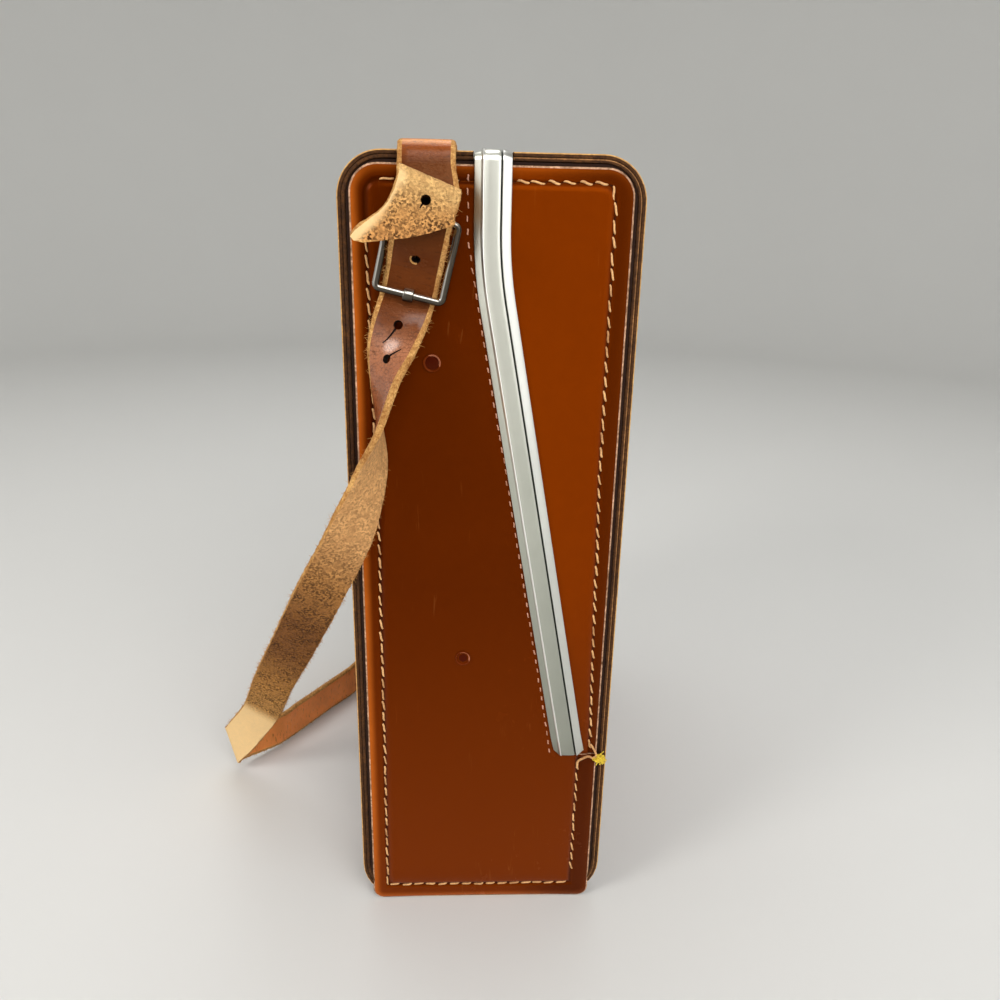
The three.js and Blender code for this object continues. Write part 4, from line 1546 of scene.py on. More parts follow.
def rounded_foot(point):
    """Lifts the corners of the rail's lower end."""
    aside = abs(point.x - rail_x(point.z))
    return point + Vector((0, 0, FOOT_LIFT * smooth_step(3.6 * MM, 6.1 * MM, aside)))


class CASE_OT_rail(bpy.types.Operator):
    """Model the metal rail on the lid's edge and the clasp on the top"""

    bl_idname = "camera_case.rail"
    bl_label = "Rail and clasp"

    def execute(self, context):
        rail = settings().rail
        profile = [(-u * MM, v * MM, 0) for u, v in RAIL_PROFILE]
        piece = carry("rail_trim", profile, rail_stations())
        with Editing(piece, "FACE"):
            bpy.ops.mesh.select_all(action="SELECT")
            bpy.ops.mesh.bisect(
                plane_co=(0, 0, rail.foot_cut), plane_no=(0, 0, 1), clear_inner=True, use_fill=True
            )
        with Editing(piece, "EDGE") as edit:
            edit.pick(lambda e: edge_middle(e).z < rail.foot_cut + 0.01 * MM)
            bpy.ops.mesh.bevel(offset=0.25 * MM, segments=2)
        with Editing(piece, "VERT") as edit:
            edit.pick(lambda v: v.co.z < rail.foot_cut + MM)
            edit.shape(rounded_foot)
        give_finishes(piece, "drawn_rail_metal")
        smooth(piece, 30)
        settle(piece, "lid", "rail_metal", "lid_rail")
        clasp = clasp_piece()
        settle(clasp, "lid", "rail_metal", "lid_clasp")
        return {"FINISHED"}


CLASP_CORNER = 4 * MM
CLASP_ROUNDING = 0.35 * MM


def clasp_piece():
    """The plain hasp over the rail, with rounded corners and softened edges."""
    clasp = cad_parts["lid_clasp"].copy()
    clasp.data = clasp.data.copy()
    clasp.parent = None
    bpy.context.collection.objects.link(clasp)
    named(clasp, "top_clasp")
    with Editing(clasp, "VERT") as edit:
        bpy.ops.mesh.select_all(action="SELECT")
        bpy.ops.mesh.remove_doubles(threshold=0.01 * MM)
        bpy.ops.mesh.dissolve_limited(angle_limit=math.radians(2))
    low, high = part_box("lid_clasp")

    def at_corner(edge):
        from_side = min(abs(edge_middle(edge).x - side) for side in (low[0], high[0]))
        return edge_runs(edge, 2) and from_side < MM

    with Editing(clasp, "EDGE") as edit:
        edit.pick(at_corner)
        bpy.ops.mesh.bevel(offset=CLASP_CORNER, segments=6)
    apply_modifier(clasp, "BEVEL", width=CLASP_ROUNDING, segments=2, limit_method="ANGLE", angle_limit=0.5)
    give_finishes(clasp, "clasp_metal")
    smooth(clasp, 30)
    return clasp


# Rivets


END_RIVETS = {"upper": (-20.1, 236.7, 3.2), "lower": (-8.7, 120.7, 3.0)}
RIVET_CUPS = {"upper": 0.45, "lower": 0.75}
RIVET_PROUD = 0.55 * MM
RIVET_SUNK = 2 * MM
RIVET_RIM = 0.42 * MM
CUP_SLOPE = 0.4 * MM
CUP_FLOOR = 0.8 * MM
CUP_SHARE = 0.74
CRESCENT_SHARE = 0.9
CRESCENT_FROM = 0.45
CUP_SLOT = 1
CRESCENT_SLOT = 2
STRAP_RIVET_FROM_MIDDLE = 82 * MM
STRAP_RIVET_RADIUS = 4.5 * MM
STRAP_RIVET_RIM = 0.6 * MM
DOME_STEPS = [(0.6, 0.45), (0.9, 0.4), (1.2, 0.25), (1.0, 0.08)]


def end_rivet(name, x, z, radius, cup):
    """A rivet head in the near end panel: a disc with a rounded rim, a sunk middle and a painted highlight
    crescent on the upper right of its rim.
    """
    case = settings().case
    thick = RIVET_SUNK + RIVET_PROUD
    foot = -case.panel_face + RIVET_SUNK
    rivet = add_cylinder(name, 40, radius * MM, thick, (x * MM, foot - thick / 2, z * MM), ALONG_Y)
    front = -case.panel_face - RIVET_PROUD
    with Editing(rivet, "FACE") as edit:
        edit.pick(lambda f: f.normal.y < -0.9)
        bpy.ops.mesh.inset(thickness=RIVET_RIM)
        bpy.ops.mesh.inset(thickness=CUP_SLOPE)
        edit.shape(lambda p: Vector((p.x, front + cup * MM, p.z)))
        bpy.ops.mesh.inset(thickness=CUP_FLOOR)
        edit.shape(lambda p: Vector((p.x, front + cup * 0.8 * MM, p.z)))
    with Editing(rivet, "EDGE") as edit:
        edit.pick(lambda e: edge_middle(e).y < front + 0.02 * MM)
        bpy.ops.mesh.bevel(offset=0.15 * MM, segments=2)
    give_finishes(rivet, "lacquered_rivet", "rivet_cup", "worn_rivet")
    for polygon in rivet.data.polygons:
        away = (polygon.center - Vector((x * MM, polygon.center.y, z * MM))) / (radius * MM)
        if away.length < CUP_SHARE:
            polygon.material_index = CUP_SLOT
        # Painted highlight: a light crescent on the upper right of the rim.
        elif away.length < CRESCENT_SHARE and away.x + away.z > CRESCENT_FROM:
            polygon.material_index = CRESCENT_SLOT
    smooth(rivet, 50)
    return rivet


def strap_rivet(name, side):
    """A domed rivet that holds a strap's end on the top."""
    strap = settings().strap
    foot = strap.lie + strap.thickness / 2 + 0.2 * MM
    middle = (strap.place, side * STRAP_RIVET_FROM_MIDDLE, foot + STRAP_RIVET_RIM / 2)
    rivet = add_cylinder(name, 32, STRAP_RIVET_RADIUS, STRAP_RIVET_RIM, middle)
    with Editing(rivet, "FACE") as edit:
        edit.pick(lambda f: f.normal.z > 0.9)
        for inset, rise in DOME_STEPS:
            bpy.ops.mesh.inset(thickness=inset * MM)
            bpy.ops.transform.translate(value=(0, 0, rise * MM))
    with Editing(rivet, "FACE") as edit:
        edit.pick(lambda f: f.normal.z < -0.9)
        bpy.ops.mesh.inset(thickness=2.3 * MM)
        bpy.ops.mesh.extrude_region_move(TRANSFORM_OT_translate={"value": (0, 0, -5 * MM)})
    apply_modifier(rivet, "BEVEL", width=0.2 * MM, segments=2, limit_method="ANGLE", angle_limit=0.9)
    give_finishes(rivet, "dark_nickel")
    smooth(rivet, 40)
    return rivet


class CASE_OT_rivets(bpy.types.Operator):
    """Set the rivets in the end panels and on the straps' ends"""

    bl_idname = "camera_case.rivets"
    bl_label = "Rivets"

    def execute(self, context):
        for place, (x, z, radius) in END_RIVETS.items():
            near = end_rivet(f"rivet_head_near_{place}", x, z, radius, RIVET_CUPS[place])
            far = mirrored_piece(near, f"rivet_head_far_{place}")
            settle(near, "case", "rivet_metal", f"end_rivet_near_{place}")
            settle(far, "case", "rivet_metal", f"end_rivet_far_{place}")
        for label, side in (("near", NEAR), ("far", FAR)):
            rivet = strap_rivet(f"strap_rivet_head_{label}", side)
            settle(rivet, "case", "rivet_metal", f"strap_rivet_{label}")
        return {"FINISHED"}


# Buckle


BUCKLE_AT = Vector((-24.8, -110, 272.2)) * MM
BUCKLE_CORNER = 2.7 * MM
WIRE_BEVEL = 1.0 * MM
PRONG_WIRE = 1.4 * MM
PRONG_EYE_WIDTH = 3.4 * MM
PRONG_EYE_WALL = 0.8 * MM
PRONG_LINE = [(0.6, -2.1), (3.2, -3.6), (6.5, -4.2), (10, -3.6), (14, -0.8)]


def buckle_place(across, along, out):
    """A point given across the buckle, up along it, and out from it."""
    lean = settings().strap.buckle_lean
    side = Vector((math.cos(lean), 0, -math.sin(lean)))
    up = Vector((math.sin(lean), 0, math.cos(lean)))
    return BUCKLE_AT + side * across + up * along + Vector((0, -out, 0))


def bar_offset():
    strap = settings().strap
    return (strap.buckle_height - strap.buckle_wire) / 2


def lean_buckle(piece):
    """Turns a piece that was made upright to the buckle's lean."""
    turn = Matrix.Rotation(settings().strap.buckle_lean, 4, "Y")
    piece.data.transform(Matrix.Translation(BUCKLE_AT) @ turn @ Matrix.Translation(-BUCKLE_AT))


def buckle_frame():
    """The bent wire frame: a block with rounded corners, pierced and rounded all over."""
    strap = settings().strap
    half = Vector((strap.buckle_width, strap.buckle_wire, strap.buckle_height)) / 2
    block = add_block("buckle_wire", BUCKLE_AT - half, BUCKLE_AT + half)
    with Editing(block, "EDGE") as edit:
        edit.pick(lambda e: edge_runs(e, 1))
        bpy.ops.mesh.bevel(offset=BUCKLE_CORNER, segments=6)
    with Editing(block, "FACE") as edit:
        edit.pick(lambda f: abs(f.normal.y) > 0.9)
        bpy.ops.mesh.inset(thickness=strap.buckle_wire, use_even_offset=True)
        bpy.ops.mesh.bridge_edge_loops()
    with Editing(block, "EDGE") as edit:
        edit.pick(lambda e: e.calc_face_angle(0) > math.radians(70))
        bpy.ops.mesh.bevel(offset=WIRE_BEVEL, segments=3)
    lean_buckle(block)
    give_finishes(block, "dark_nickel")
    smooth(block, 50)
    return block


def buckle_prong():
    """The prong: an eye round the lower bar, and a wire that rises behind the strap to its hole."""
    offset = bar_offset()
    points = [buckle_place(0, above * MM - offset, out * MM) for above, out in PRONG_LINE]
    wire = carry("prong_wire", round_profile(PRONG_WIRE / 2, 10), line_stations(points, 6))
    inner = settings().strap.buckle_wire / 2 + RAIL_SEAT
    middle = BUCKLE_AT - Vector((0, 0, offset))
    eye = add_cylinder("prong_eye", 28, inner + PRONG_EYE_WALL, PRONG_EYE_WIDTH, middle, ALONG_X)
    with Editing(eye, "FACE") as edit:
        edit.pick(lambda f: abs(f.normal.x) > 0.9)
        bpy.ops.mesh.inset(thickness=PRONG_EYE_WALL)
        bpy.ops.mesh.bridge_edge_loops()
    apply_modifier(eye, "BEVEL", width=0.25 * MM, segments=3, limit_method="ANGLE", angle_limit=0.9)
    lean_buckle(eye)
    give_finishes(wire, "dark_nickel")
    give_finishes(eye, "dark_nickel")
    prong = join("buckle_tongue", [eye, wire])
    smooth(prong, 50)
    return prong


class CASE_OT_buckle(bpy.types.Operator):
    """Model the buckle and its prong"""

    bl_idname = "camera_case.buckle"
    bl_label = "Buckle"

    def execute(self, context):
        settle(buckle_frame(), "case", "buckle_metal", "buckle_frame")
        settle(buckle_prong(), "case", "buckle_metal", "buckle_prong")
        return {"FINISHED"}


# Straps


class StrapRow:
    """A place on a strap: its middle and the way to its first edge."""

    def __init__(self, at, edge):
        self.at = Vector(at)
        self.edge = Vector(edge).normalized()


def free_row(x, y, z, *edge):
    return StrapRow(Vector((x, y, z)) * MM, edge)


def top_row(y, rise):
    strap = settings().strap
    return StrapRow((strap.place, y * MM, strap.lie + rise * MM), (1, 0, 0))


def buckle_row(along, out):
    lean = settings().strap.buckle_lean
    return StrapRow(buckle_place(0, along, out), (math.cos(lean), 0, -math.sin(lean)))


def short_strap_rows():
    strap = settings().strap
    over = strap.buckle_wire / 2 + RAIL_SEAT + strap.thickness / 2
    slanting = over * math.sqrt(0.5)
    bar = bar_offset()
    return [
        top_row(-72, 0), top_row(-92, 0), top_row(-100, 0.3), top_row(-104.5, 0.4),
        top_row(-107.8, -1.6), top_row(-109.2, -6.5),
        buckle_row(bar + 7 * MM, over - 0.9 * MM),
        buckle_row(bar, over),
        buckle_row(bar - slanting, slanting),
        buckle_row(bar - over, 0),
        buckle_row(bar - slanting, -slanting),
        buckle_row(bar, -over),
        buckle_row(bar + 8 * MM, -over - 0.1 * MM),
    ]


BUCKLE_ROW = 7


def long_strap_rows():
    """Free end, fold, buckle, half twist, fold at the floor, then up the far end to the top."""
    bar = bar_offset()
    return [
        free_row(-28.2, -119.9, 280, 0.985, 0, 0.15),
        free_row(-23.8, -120.6, 284.8, 0.99, 0, -0.08),
        free_row(-20.6, -120.1, 290.6, 0.94, 0, -0.33),
        free_row(-18.9, -117.7, 295, 0.93, 0, -0.36),
        free_row(-19.6, -115.7, 292.3, 0.94, 0, -0.33),
        buckle_row(bar, 5.5 * MM),
        buckle_row(4 * MM, 4.2 * MM),
        buckle_row(0, 1.3 * MM),
        buckle_row(-4 * MM, -1.6 * MM),
        buckle_row(-bar, -2.8 * MM),
        free_row(-29.5, -107.8, 254.3, 0.98, 0, -0.17),
        free_row(-33, -111, 243.6, 0.92, -0.38, -0.05),
        free_row(-35.7, -114.8, 232.5, 0.57, -0.82, 0.1),
        free_row(-37.8, -116.5, 216.3, 0.08, -0.99, 0.1),
        free_row(-41, -115.2, 200.4, -0.43, -0.85, 0.3),
        free_row(-48.4, -116, 178.7, -0.66, -0.48, 0.58),
        free_row(-62.9, -106, 149.1, -0.72, -0.32, 0.61),
        free_row(-82.2, -76, 108, -0.76, -0.21, 0.61),
        free_row(-97.5, -50, 75.7, -0.8, -0.11, 0.6),
        free_row(-110.6, -28, 45.3, -0.78, -0.1, 0.62),
        free_row(-126, -17, 22, -0.4, 0.05, 0.91),
        free_row(-130.4, -13, 15.3, -0.25, 0.12, 0.96),
        free_row(-127.8, -9, 13.8, -0.2, 0.05, 0.98),
        free_row(-110.5, 8, 10.6, 0, 0, 1),
        free_row(-102.3, 21, 10.2, 0, 0, 1),
        free_row(-88.4, 43, 10.2, 0, 0, 1),
        free_row(-74.8, 64, 11.2, 0, 0, 1),
        free_row(-67, 82, 20, 0.2, -0.15, 0.97),
        free_row(-63, 105, 50, 0.6, -0.6, 0.5),
        free_row(-54, 121, 100, 0.85, -0.5, 0.15),
        free_row(-42, 119, 170, 0.97, -0.25, 0.1),
        free_row(-29, 112, 240, 1, 0, 0.1),
        free_row(-22.5, 109.3, 285, 1, 0, 0.05),
        top_row(107.8, -3), top_row(104.5, 0.4), top_row(98, 0), top_row(72, 0),
    ]


STRAP_STEP = 1.3 * MM
STEPS_WITHIN_ROW = 4


def strap_stations(rows):
    """Stations along a strap, close enough together for its bends and its ragged edges."""
    middles = [row.at for row in rows]
    edges = [row.edge for row in rows]
    stations = []
    so_far = 0.0
    previous = middles[0]
    for index in range(len(rows) - 1):
        span = (middles[index + 1] - middles[index]).length
        steps = max(STEPS_WITHIN_ROW, round(span / STRAP_STEP))
        last = index == len(rows) - 2
        for step in range(steps + (1 if last else 0)):
            place = index + step / steps
            at = curve_point(middles, place)
            ahead = curve_point(middles, min(place + 0.003, len(rows) - 1))
            behind = curve_point(middles, max(place - 0.003, 0))
            heading = (ahead - behind).normalized()
            edge = curve_point(edges, place).normalized()
            out = heading.cross(edge)
            across = edge / out.length
            so_far += (at - previous).length
            previous = at
            stations.append(Station(at, across, out.normalized(), so_far, heading, place))
    return stations


GRAIN_SIDE = 0
CUT_SIDE = 1
FLESH_SIDE = 2
GRAIN_SHARES = [-0.81, -0.6, -0.4, -0.2, 0, 0.2, 0.4, 0.6, 0.81]
FLESH_SHARES = [0.95, 0.8, 0.6, 0.4, 0.2, 0, -0.2, -0.4, -0.6, -0.8, -0.95]


def strap_profile():
    """The strap's section: a smooth side between bare margins, ragged edges and a flat rough side."""
    strap = settings().strap
    half = strap.width / 2
    thick = strap.thickness / 2
    left = [(-1, -0.2), (-0.99, 0.45), (-0.94, 0.82), (-0.87, 0.93)]
    points = [(share * half, rise * thick, CUT_SIDE) for share, rise in left]
    points += [(share * half, thick, GRAIN_SIDE) for share in GRAIN_SHARES[:-1]]
    points += [(GRAIN_SHARES[-1] * half, thick, CUT_SIDE)]
    points += [(-share * half, rise * thick, CUT_SIDE) for share, rise in reversed(left)]
    points += [(share * half, -thick, FLESH_SIDE) for share in FLESH_SHARES[:-1]]
    points += [(FLESH_SHARES[-1] * half, -thick, CUT_SIDE)]
    return points


def ragged(station, across, out):
    """Frays the strap's edges, dents its rough side and leaves its smooth side alone."""
    strap = settings().strap
    half = strap.width / 2
    share = abs(across) / half
    side = math.copysign(1, across)
    along = station.length / MM
    fray = noise.noise(Vector((along * 0.9, side * 9 + out / MM * 0.8, across / MM * 0.9)))
    slow = noise.noise(Vector((along * 0.09, side * 5, 0)))
    if share > 0.84:
        across += side * (0.3 * fray + 0.12 * slow - 0.15) * MM
        out += 0.12 * fray * MM
    if out < -0.9 * strap.thickness / 2 and share < 0.9:
        out += 0.12 * MM * noise.noise(Vector((along * 0.4, across / MM * 0.4, 2)))
    return across, out, 0.0


FLAP_ROWS = 3.0
FLAP_ENDS = 4.2


def ragged_with_flap(station, across, out):
    """The same, with the free end's hollow rear edge and its rounded, uneven cut."""
    across, out, ahead = ragged(station, across, out)
    if station.row >= FLAP_ENDS:
        return across, out, ahead
    half = settings().strap.width / 2
    share = across / half
    hollow = math.sin(math.pi * min(1, station.row / FLAP_ROWS))
    wider = 2.7 * (1 - smooth_step(FLAP_ROWS, FLAP_ENDS, station.row))
    across += ((1.6 * hollow - wider) * max(0, -share) + 0.7 * hollow * max(0, share)) * MM
    near_cut = 1 - smooth_step(0, 1.2, station.row)
    uneven = 0.7 * noise.noise(Vector((across / MM * 0.7, out / MM, 4)))
    blunt = 3.5 * max(0, -share - 0.62) ** 2 * 7
    ahead = -near_cut * (2.6 * (1 - share * share) - blunt + uneven) * MM
    return across, out, ahead


HOLES_FROM_BUCKLE = [-32, 0, 24, 37]
LIPPED_HOLE = 0
BARE_ROWS = (18.8, 19.1, 21.2, 21.6)


def punch(piece, cutters):
    """Cuts each cutter out of a strap."""
    for cutter in cutters:
        # The cut walls take a near-black finish: painted shade inside the holes and tears.
        give_finishes(cutter, "hole_wall")
        apply_modifier(
            piece, "BOOLEAN", operation="DIFFERENCE", object=cutter, solver="EXACT", material_mode="TRANSFER"
        )
        bpy.data.objects.remove(cutter)


def hole_cutter(station):
    strap = settings().strap
    cutter = add_cylinder("hole", 18, strap.hole_radius, 4 * strap.thickness)
    turn = Vector((0, 0, 1)).rotation_difference(station.out).to_matrix().to_4x4()
    cutter.data.transform(Matrix.Translation(station.at) @ turn)
    return cutter


TEARS = {
    -32: [(0, 0), (-1.2, -0.4), (-2.3, -0.5)],
    24: [(0, 0), (2.5, -0.8), (5, -2.1), (7, -3.3)],
    37: [(0, 0), (-1.3, 1.0), (-3, 2.6), (-4.5, 4.3)],
}
TEAR_RADIUS = 0.5 * MM
TEAR_END = 0.4


def visible_face(station):
    """The middle of the side of the strap that shows at a station."""
    flap = station.row < FLAP_ROWS
    return station.at + station.out * settings().strap.thickness / 2 * (-1 if flap else 1)


def tear_cutter(stations, hole, line):
    """A tapered rod along a line of (ahead, aside) points, which tears the strap's face from a hole."""
    points = []
    for ahead, aside in line:
        station = min(stations, key=lambda s: abs(s.length - hole.length - ahead * MM))
        points.append(visible_face(station) + station.across * aside * MM)
    tear = line_stations(points, 5)
    reach = tear[-1].length

    def tapered(station, across, out):
        share = 1 - (1 - TEAR_END) * station.length / reach
        return across * share, out * share, 0.0

    return carry("tear", round_profile(TEAR_RADIUS, 8), tear, tapered)


LIP_RADIUS = 0.32 * MM
LIP_TURNS = [150, 185, 220, 255, 290]


def torn_lip(station):
    """The pale lip that stands up on one side of a hole."""
    strap = settings().strap
    face = visible_face(station)
    reach = strap.hole_radius + 0.5 * LIP_RADIUS
    points = []
    for degrees in LIP_TURNS:
        turn = math.radians(degrees)
        across = station.across.normalized()
        points.append(face + (across * math.cos(turn) - station.heading * math.sin(turn)) * reach)
    lip = carry("torn_lip", round_profile(LIP_RADIUS, 6), line_stations(points, 3))
    give_finishes(lip, "strap_edge")
    return lip


def strap_materials(name, last_row, grain, gloss, flesh, soil):
    """A strap's smooth side, cut edge and rough side, from tones given by row."""

    def along(stops):
        return [(row / last_row, tone) for row, tone in stops]

    def levels(stops):
        return along([(row, grey(level)) for row, level in stops])

    flesh_deep = settings().finish.flesh_deep
    return [
        strap_grain(name + "_grain", along(grain), levels(gloss)),
        kept_material("strap_edge"),
        strap_flesh(name + "_flesh", flesh_deep, along(flesh), levels(soil)),
    ]


def short_strap_materials():
    tones = settings().finish
    grain = [
        # The bright stop at row 3.3 is a painted highlight on the top bend.
        (0, tones.grain_light), (2.4, srgb(150, 76, 30)), (3.3, srgb(255, 168, 88)),
        (3.9, srgb(150, 76, 30)), (4.8, srgb(88, 40, 11)), (8, tones.grain_deep),
    ]
    gloss = [(2.6, 0), (3.3, 0.45), (4.2, 0.35), (5, 0)]
    flesh = [(0, tones.flesh_light), (12, tones.flesh_light)]
    return strap_materials("short_strap", 12, grain, gloss, flesh, [(0, 0.6), (12, 0.6)])


def long_strap_materials():
    tones = settings().finish
    grain = [
        (0, tones.grain_light), (4, tones.grain_deep), (7.6, srgb(100, 46, 12)), (9.4, srgb(88, 40, 12)),
        # Rows 11.2 to 13 below the buckle are lighter: a painted sheen.
        (10.4, srgb(112, 56, 22)), (11.2, srgb(186, 120, 84)), (13, srgb(166, 92, 50)),
        # Rows 22 to 28, the stretch on the floor, take the painted light tone.
        (20, tones.grain_light), (22, tones.grain_glow), (28, tones.grain_glow),
        (30, tones.grain_light), (36, tones.grain_light),
    ]
    flesh = [
        (0, srgb(250, 178, 104)), (1.2, srgb(255, 190, 114)), (2.3, srgb(255, 206, 134)),
        (4, tones.flesh_light), (13, srgb(255, 198, 132)), (15.1, srgb(252, 192, 126)),
        # Rows 15.8 to 18 are darker: painted shade where the strap turns from the light.
        (15.8, srgb(206, 146, 80)), (16.5, srgb(146, 92, 36)), (17.1, srgb(156, 100, 40)),
        (18, srgb(226, 160, 78)), (19, srgb(240, 180, 100)), (36, tones.flesh_light),
    ]
    gloss = [(9.6, 0), (10.6, 1), (12.6, 1), (13.4, 0)]
    soil = [
        (0, 1), (1.4, 0.8), (2.6, 0.3), (4, 0.6), (13, 0.2), (15.0, 0.4),
        # The dense pits from row 16.2 to 18.7 are painted shade as well as soil.
        (16.2, 0.9), (18.7, 0.95), (36, 0.6),
    ]
    return strap_materials("long_strap", 36, grain, gloss, flesh, soil)


def bare_share(row, aside):
    """How bare the rough side is: near the fold on the floor, and on the free end's rear margin."""
    start, full, fades, end = BARE_ROWS
    fold = smooth_step(start, full, row) - smooth_step(fades, end, row)
    margin = smooth_step(0.88, 0.96, -aside) * (1 - smooth_step(FLAP_ROWS - 0.8, FLAP_ROWS, row))
    return max(fold, margin)


def give_strap_values(piece, stations):
    """Stores each point's share of the way along the strap, and how bare it is."""
    mesh = piece.data
    rows = [item.value - ROW_START for item in mesh.attributes["row"].data]
    asides = [item.value for item in mesh.attributes["aside"].data]
    for index, point in enumerate(mesh.vertices):
        if rows[index] < 0:
            rows[index] = min(stations, key=lambda s: (s.at - point.co).length).row
    last_row = stations[-1].row
    shares = mesh.attributes.new("share", "FLOAT", "POINT")
    shares.data.foreach_set("value", [row / last_row for row in rows])
    bare = mesh.attributes.new("bare", "FLOAT", "POINT")
    bare.data.foreach_set("value", [bare_share(row, aside) for row, aside in zip(rows, asides)])


FIBRES_PER_METRE = 2600
FIBRE_RADIUS = 0.11 * MM
FIBRE_LENGTHS = (1.0, 2.6)
FIBRE_SEED = 9


def fibre_template():
    """One loose fibre: a thin three-sided spike along Z, one millimetre long."""
    clear_selection()
    bpy.ops.mesh.primitive_cone_add(
        vertices=3, radius1=FIBRE_RADIUS, radius2=0, depth=MM, location=(0, 0, MM / 2)
    )
    fibre = apply_place(named(bpy.context.active_object, "fibre"))
    give_finishes(fibre, "strap_edge")
    return fibre


def loose_fibres(stations, seed):
    """Fibres that stand out from both edges of a strap, in random directions."""
    strap = settings().strap
    chance = random.Random(seed)
    template = fibre_template()
    fibres = []
    for _ in range(round(stations[-1].length * FIBRES_PER_METRE)):
        station = chance.choice(stations)
        side = chance.choice((-1, 1))
        base = station.at + station.across * side * strap.width / 2 * 0.95
        base += station.out * chance.uniform(-0.4, 0.4) * strap.thickness
        way = station.across.normalized() * side * 0.7
        way += station.out * chance.gauss(0, 0.6) + station.heading * chance.gauss(0, 0.6)
        reach = chance.uniform(*FIBRE_LENGTHS)
        if base.z + min(0, way.normalized().z) * reach * MM < 2 * FIBRE_RADIUS:
            continue
        turn = Vector((0, 0, 1)).rotation_difference(way).to_matrix().to_4x4()
        fibre = copy_piece(template, "fibre")
        fibre.data.transform(Matrix.Translation(base) @ turn @ Matrix.Diagonal((1, 1, reach, 1)))
        fibres.append(fibre)
    bpy.data.objects.remove(template)
    return join("loose_fibres", fibres)


def short_strap():
    stations = strap_stations(short_strap_rows())
    strap = carry("short_strap", strap_profile(), stations, ragged)
    give_materials(strap, *short_strap_materials())
    give_strap_values(strap, stations)
    smooth(strap, 60)
    return strap


def shoulder_strap():
    """The long strap, punched and torn, with a lip at the buckle's hole and loose fibres."""
    rows = long_strap_rows()
    stations = strap_stations(rows)
    strap = carry("shoulder_strap", strap_profile(), stations, ragged_with_flap)
    give_materials(strap, *long_strap_materials())
    at_buckle = min(stations, key=lambda s: (s.at - rows[BUCKLE_ROW].at).length).length
    holes = {}
    for distance in HOLES_FROM_BUCKLE:
        holes[distance] = min(stations, key=lambda s: abs(s.length - at_buckle - distance * MM))
    cutters = [hole_cutter(station) for station in holes.values()]
    cutters += [tear_cutter(stations, holes[distance], line) for distance, line in TEARS.items()]
    punch(strap, cutters)
    give_strap_values(strap, stations)
    lip = torn_lip(holes[LIPPED_HOLE])
    below_flap = [station for station in stations if station.row > FLAP_ENDS]
    fibres = loose_fibres(below_flap, settings().stitch.seed + FIBRE_SEED)
    strap = join("shoulder_strap", [strap, lip, fibres])
    smooth(strap, 60)
    return strap


class CASE_OT_straps(bpy.types.Operator):
    """Model the short strap and the long shoulder strap"""

    bl_idname = "camera_case.straps"
    bl_label = "Straps"

    def execute(self, context):
        settle(short_strap(), "case", "strap_leather", "strap_short")
        settle(shoulder_strap(), "case", "strap_leather", "strap_long")
        return {"FINISHED"}


# Thread at the hinge


HINGE_LOOP = [
    (39.1, -104.6, 68.7), (39.3, -105.6, 72.6), (41.3, -105.8, 74.1), (43.3, -105.6, 74.8),
    (45.5, -105.2, 73.6),
]
LID_THREAD = [(45.5, -105, 73.6), (46.6, -105.6, 75.2), (45.8, -105.5, 77.6), (44.2, -104.5, 80)]
TUFT_AT = Vector((48, -105.5, 73.4))
TUFT_REACH = Vector((2.5, 1.2, 2.0))
TUFT_STRANDS = 70
TUFT_SEED = 5
TUFT_SPREAD = 0.5


def thread_line(name, points, radius, finish, steps=8):
    line = [Vector(point) * MM for point in points]
    thread = carry(name, round_profile(radius * MM, 8), line_stations(line, steps))
    give_finishes(thread, finish)
    return thread


class CASE_OT_hinge_thread(bpy.types.Operator):
    """Add the worn thread at the lid's hinge"""

    bl_idname = "camera_case.hinge_thread"
    bl_label = "Hinge thread"

    def execute(self, context):
        chance = random.Random(settings().stitch.seed + TUFT_SEED)
        strands = [
            thread_line("hinge_loop", HINGE_LOOP, 0.5, "sewing_thread"),
            thread_line("lid_thread", LID_THREAD, 0.45, "sewing_thread"),
        ]
        for _ in range(TUFT_STRANDS):
            ends = []
            for _ in range(3):
                away = Vector([chance.gauss(0, TUFT_SPREAD) for _ in range(3)])
                ends.append(TUFT_AT + away * TUFT_REACH)
            strands.append(thread_line("strand", ends, 0.2, "frayed_thread", 3))
        near = join("hinge_thread_near", strands)
        smooth(near, 60)
        far = mirrored_piece(near, "hinge_thread_far")
        for piece in (near, far):
            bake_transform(piece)
        return {"FINISHED"}


# Stage


# Each light's place in metres, its size in metres, its power in watts and its tint
LIGHTS = {
    "key_light": ((-1.05, -0.75, 0.98), 0.55, 7, (1.0, 0.97, 0.93)),
    "fill_light": ((0.95, -0.9, 0.9), 1.0, 3.5, (0.98, 0.99, 1.0)),
    "front_light": ((0.35, -1.45, 1.25), 1.2, 16.5, (1.0, 0.99, 0.97)),
    "left_card": ((-0.95, -1.15, 0.3), 0.9, 1.4, (1.0, 0.99, 0.98)),
    "right_card": ((0.95, -1.15, 0.3), 0.9, 2.0, (1.0, 0.99, 0.98)),
    "top_light": ((-0.1, 0.35, 1.5), 1.2, 7, (1.0, 1.0, 1.0)),
}
LIGHT_TARGET = Vector((0, 0, 0.15))
AIR_STRENGTH = 0.35
FLOOR_BEND = 0.7
FLOOR_STEPS = 12
BACKDROP_HEIGHT = 3.0
SENSOR_WIDTH = 36


def add_light(name, location, size, power, tint):
    light = bpy.data.lights.new(name, "AREA")
    light.shape = "DISK"
    light.size = size
    light.energy = power
    light.color = tint
    lamp = bpy.data.objects.new(name, light)
    lamp.location = location
    lamp.rotation_euler = (LIGHT_TARGET - lamp.location).to_track_quat("-Z", "Y").to_euler()
    lamp.visible_camera = False
    bpy.context.collection.objects.link(lamp)


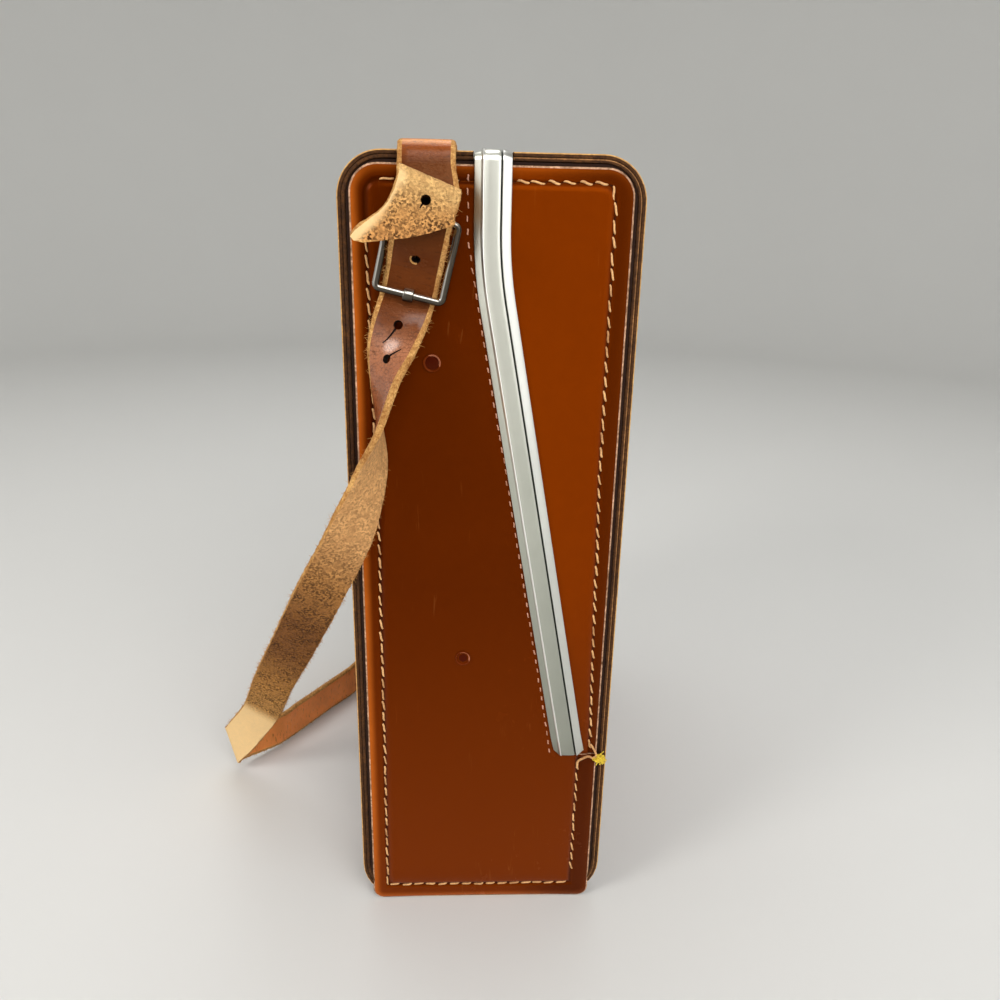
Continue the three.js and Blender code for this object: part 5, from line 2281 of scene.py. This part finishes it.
def add_floor():
    """A level floor whose far edge rises smoothly into a wall."""
    radius = settings().stage.floor_radius
    clear_selection()
    bpy.ops.mesh.primitive_circle_add(vertices=96, radius=radius, fill_type="NGON")
    floor = named(bpy.context.active_object, "studio_floor")
    with Editing(floor, "EDGE") as edit:
        edit.pick(lambda e: e.is_boundary)
        for step in range(1, FLOOR_STEPS + 1):
            turn = math.pi / 2 * step / FLOOR_STEPS
            reach = radius + FLOOR_BEND * math.sin(turn)
            height = FLOOR_BEND * (1 - math.cos(turn))
            bpy.ops.mesh.extrude_region()
            edit.shape(lambda p: Vector((p.x, p.y, 0)).normalized() * reach + Vector((0, 0, height)))
        bpy.ops.mesh.extrude_region()
        edit.shape(lambda p: Vector((p.x, p.y, BACKDROP_HEIGHT)))
    give_finishes(floor, "studio_floor")
    smooth(floor, 40)


def add_camera():
    stage = settings().stage
    camera_data = bpy.data.cameras.new("photo_camera")
    camera_data.lens = stage.lens
    camera_data.sensor_width = SENSOR_WIDTH
    camera_data.clip_start = 0.01
    camera = bpy.data.objects.new("photo_camera", camera_data)
    bpy.context.collection.objects.link(camera)
    forward = Vector((
        math.sin(stage.yaw) * math.cos(stage.pitch),
        math.cos(stage.yaw) * math.cos(stage.pitch),
        -math.sin(stage.pitch),
    ))
    level = Vector((math.cos(stage.yaw), -math.sin(stage.yaw), 0))
    down = forward.cross(level)
    right = level * math.cos(stage.roll) + down * math.sin(stage.roll)
    up = level * math.sin(stage.roll) - down * math.cos(stage.roll)
    turn = Matrix((right, up, -forward)).transposed().to_4x4()
    place = Vector((stage.camera_x, stage.camera_y, stage.camera_z))
    camera.matrix_world = Matrix.Translation(place) @ turn
    bpy.context.scene.camera = camera


class CASE_OT_stage(bpy.types.Operator):
    """Set up the floor, the soft light and the camera"""

    bl_idname = "camera_case.stage"
    bl_label = "Stage"

    def execute(self, context):
        add_floor()
        add_camera()
        for name, values in LIGHTS.items():
            add_light(name, *values)
        world = bpy.data.worlds.new("studio_air")
        world.use_nodes = True
        air = world.node_tree.nodes["Background"]
        air.inputs["Color"].default_value = (1, 1, 1, 1)
        air.inputs["Strength"].default_value = AIR_STRENGTH
        context.scene.world = world
        context.scene.view_settings.view_transform = "Standard"
        return {"FINISHED"}


# Panel and registration


class CameraCaseSettings(bpy.types.PropertyGroup):
    case: PointerProperty(name="Case", description="Sizes of the case", type=CaseSizes)
    stitch: PointerProperty(name="Stitching", description="Sizes of the sewing", type=StitchSizes)
    rail: PointerProperty(name="Rail", description="Sizes of the rail", type=RailSizes)
    strap: PointerProperty(name="Strap", description="Sizes of the strap", type=StrapSizes)
    finish: PointerProperty(name="Finish", description="Colours of the finishes", type=FinishColours)
    stage: PointerProperty(name="Stage", description="Camera and floor", type=StageSizes)


OPERATORS = (
    CASE_OT_walls,
    CASE_OT_end_panels,
    CASE_OT_stitching,
    CASE_OT_rail,
    CASE_OT_rivets,
    CASE_OT_buckle,
    CASE_OT_straps,
    CASE_OT_hinge_thread,
    CASE_OT_stage,
)


class CASE_PT_sidebar(bpy.types.Panel):
    """Lists the steps that build the camera case"""

    bl_idname = "CASE_PT_sidebar"
    bl_label = "Leather camera case"
    bl_space_type = "VIEW_3D"
    bl_region_type = "UI"
    bl_category = "Camera Case"

    def draw(self, context):
        for operator in OPERATORS:
            self.layout.operator(operator.bl_idname)


CLASSES = (
    CaseSizes, StitchSizes, RailSizes, StrapSizes, FinishColours, StageSizes, CameraCaseSettings,
    *OPERATORS, CASE_PT_sidebar,
)


def register():
    for each in CLASSES:
        bpy.utils.register_class(each)
    bpy.types.Scene.camera_case = PointerProperty(type=CameraCaseSettings)


def unregister():
    del bpy.types.Scene.camera_case
    for each in reversed(CLASSES):
        bpy.utils.unregister_class(each)


def main():
    register()
    bpy.ops.camera_case.walls()
    bpy.ops.camera_case.end_panels()
    bpy.ops.camera_case.stitching()
    bpy.ops.camera_case.rail()
    bpy.ops.camera_case.rivets()
    bpy.ops.camera_case.buckle()
    bpy.ops.camera_case.straps()
    bpy.ops.camera_case.hinge_thread()
    bpy.ops.camera_case.stage()
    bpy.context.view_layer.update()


if __name__ == "__main__":
    main()
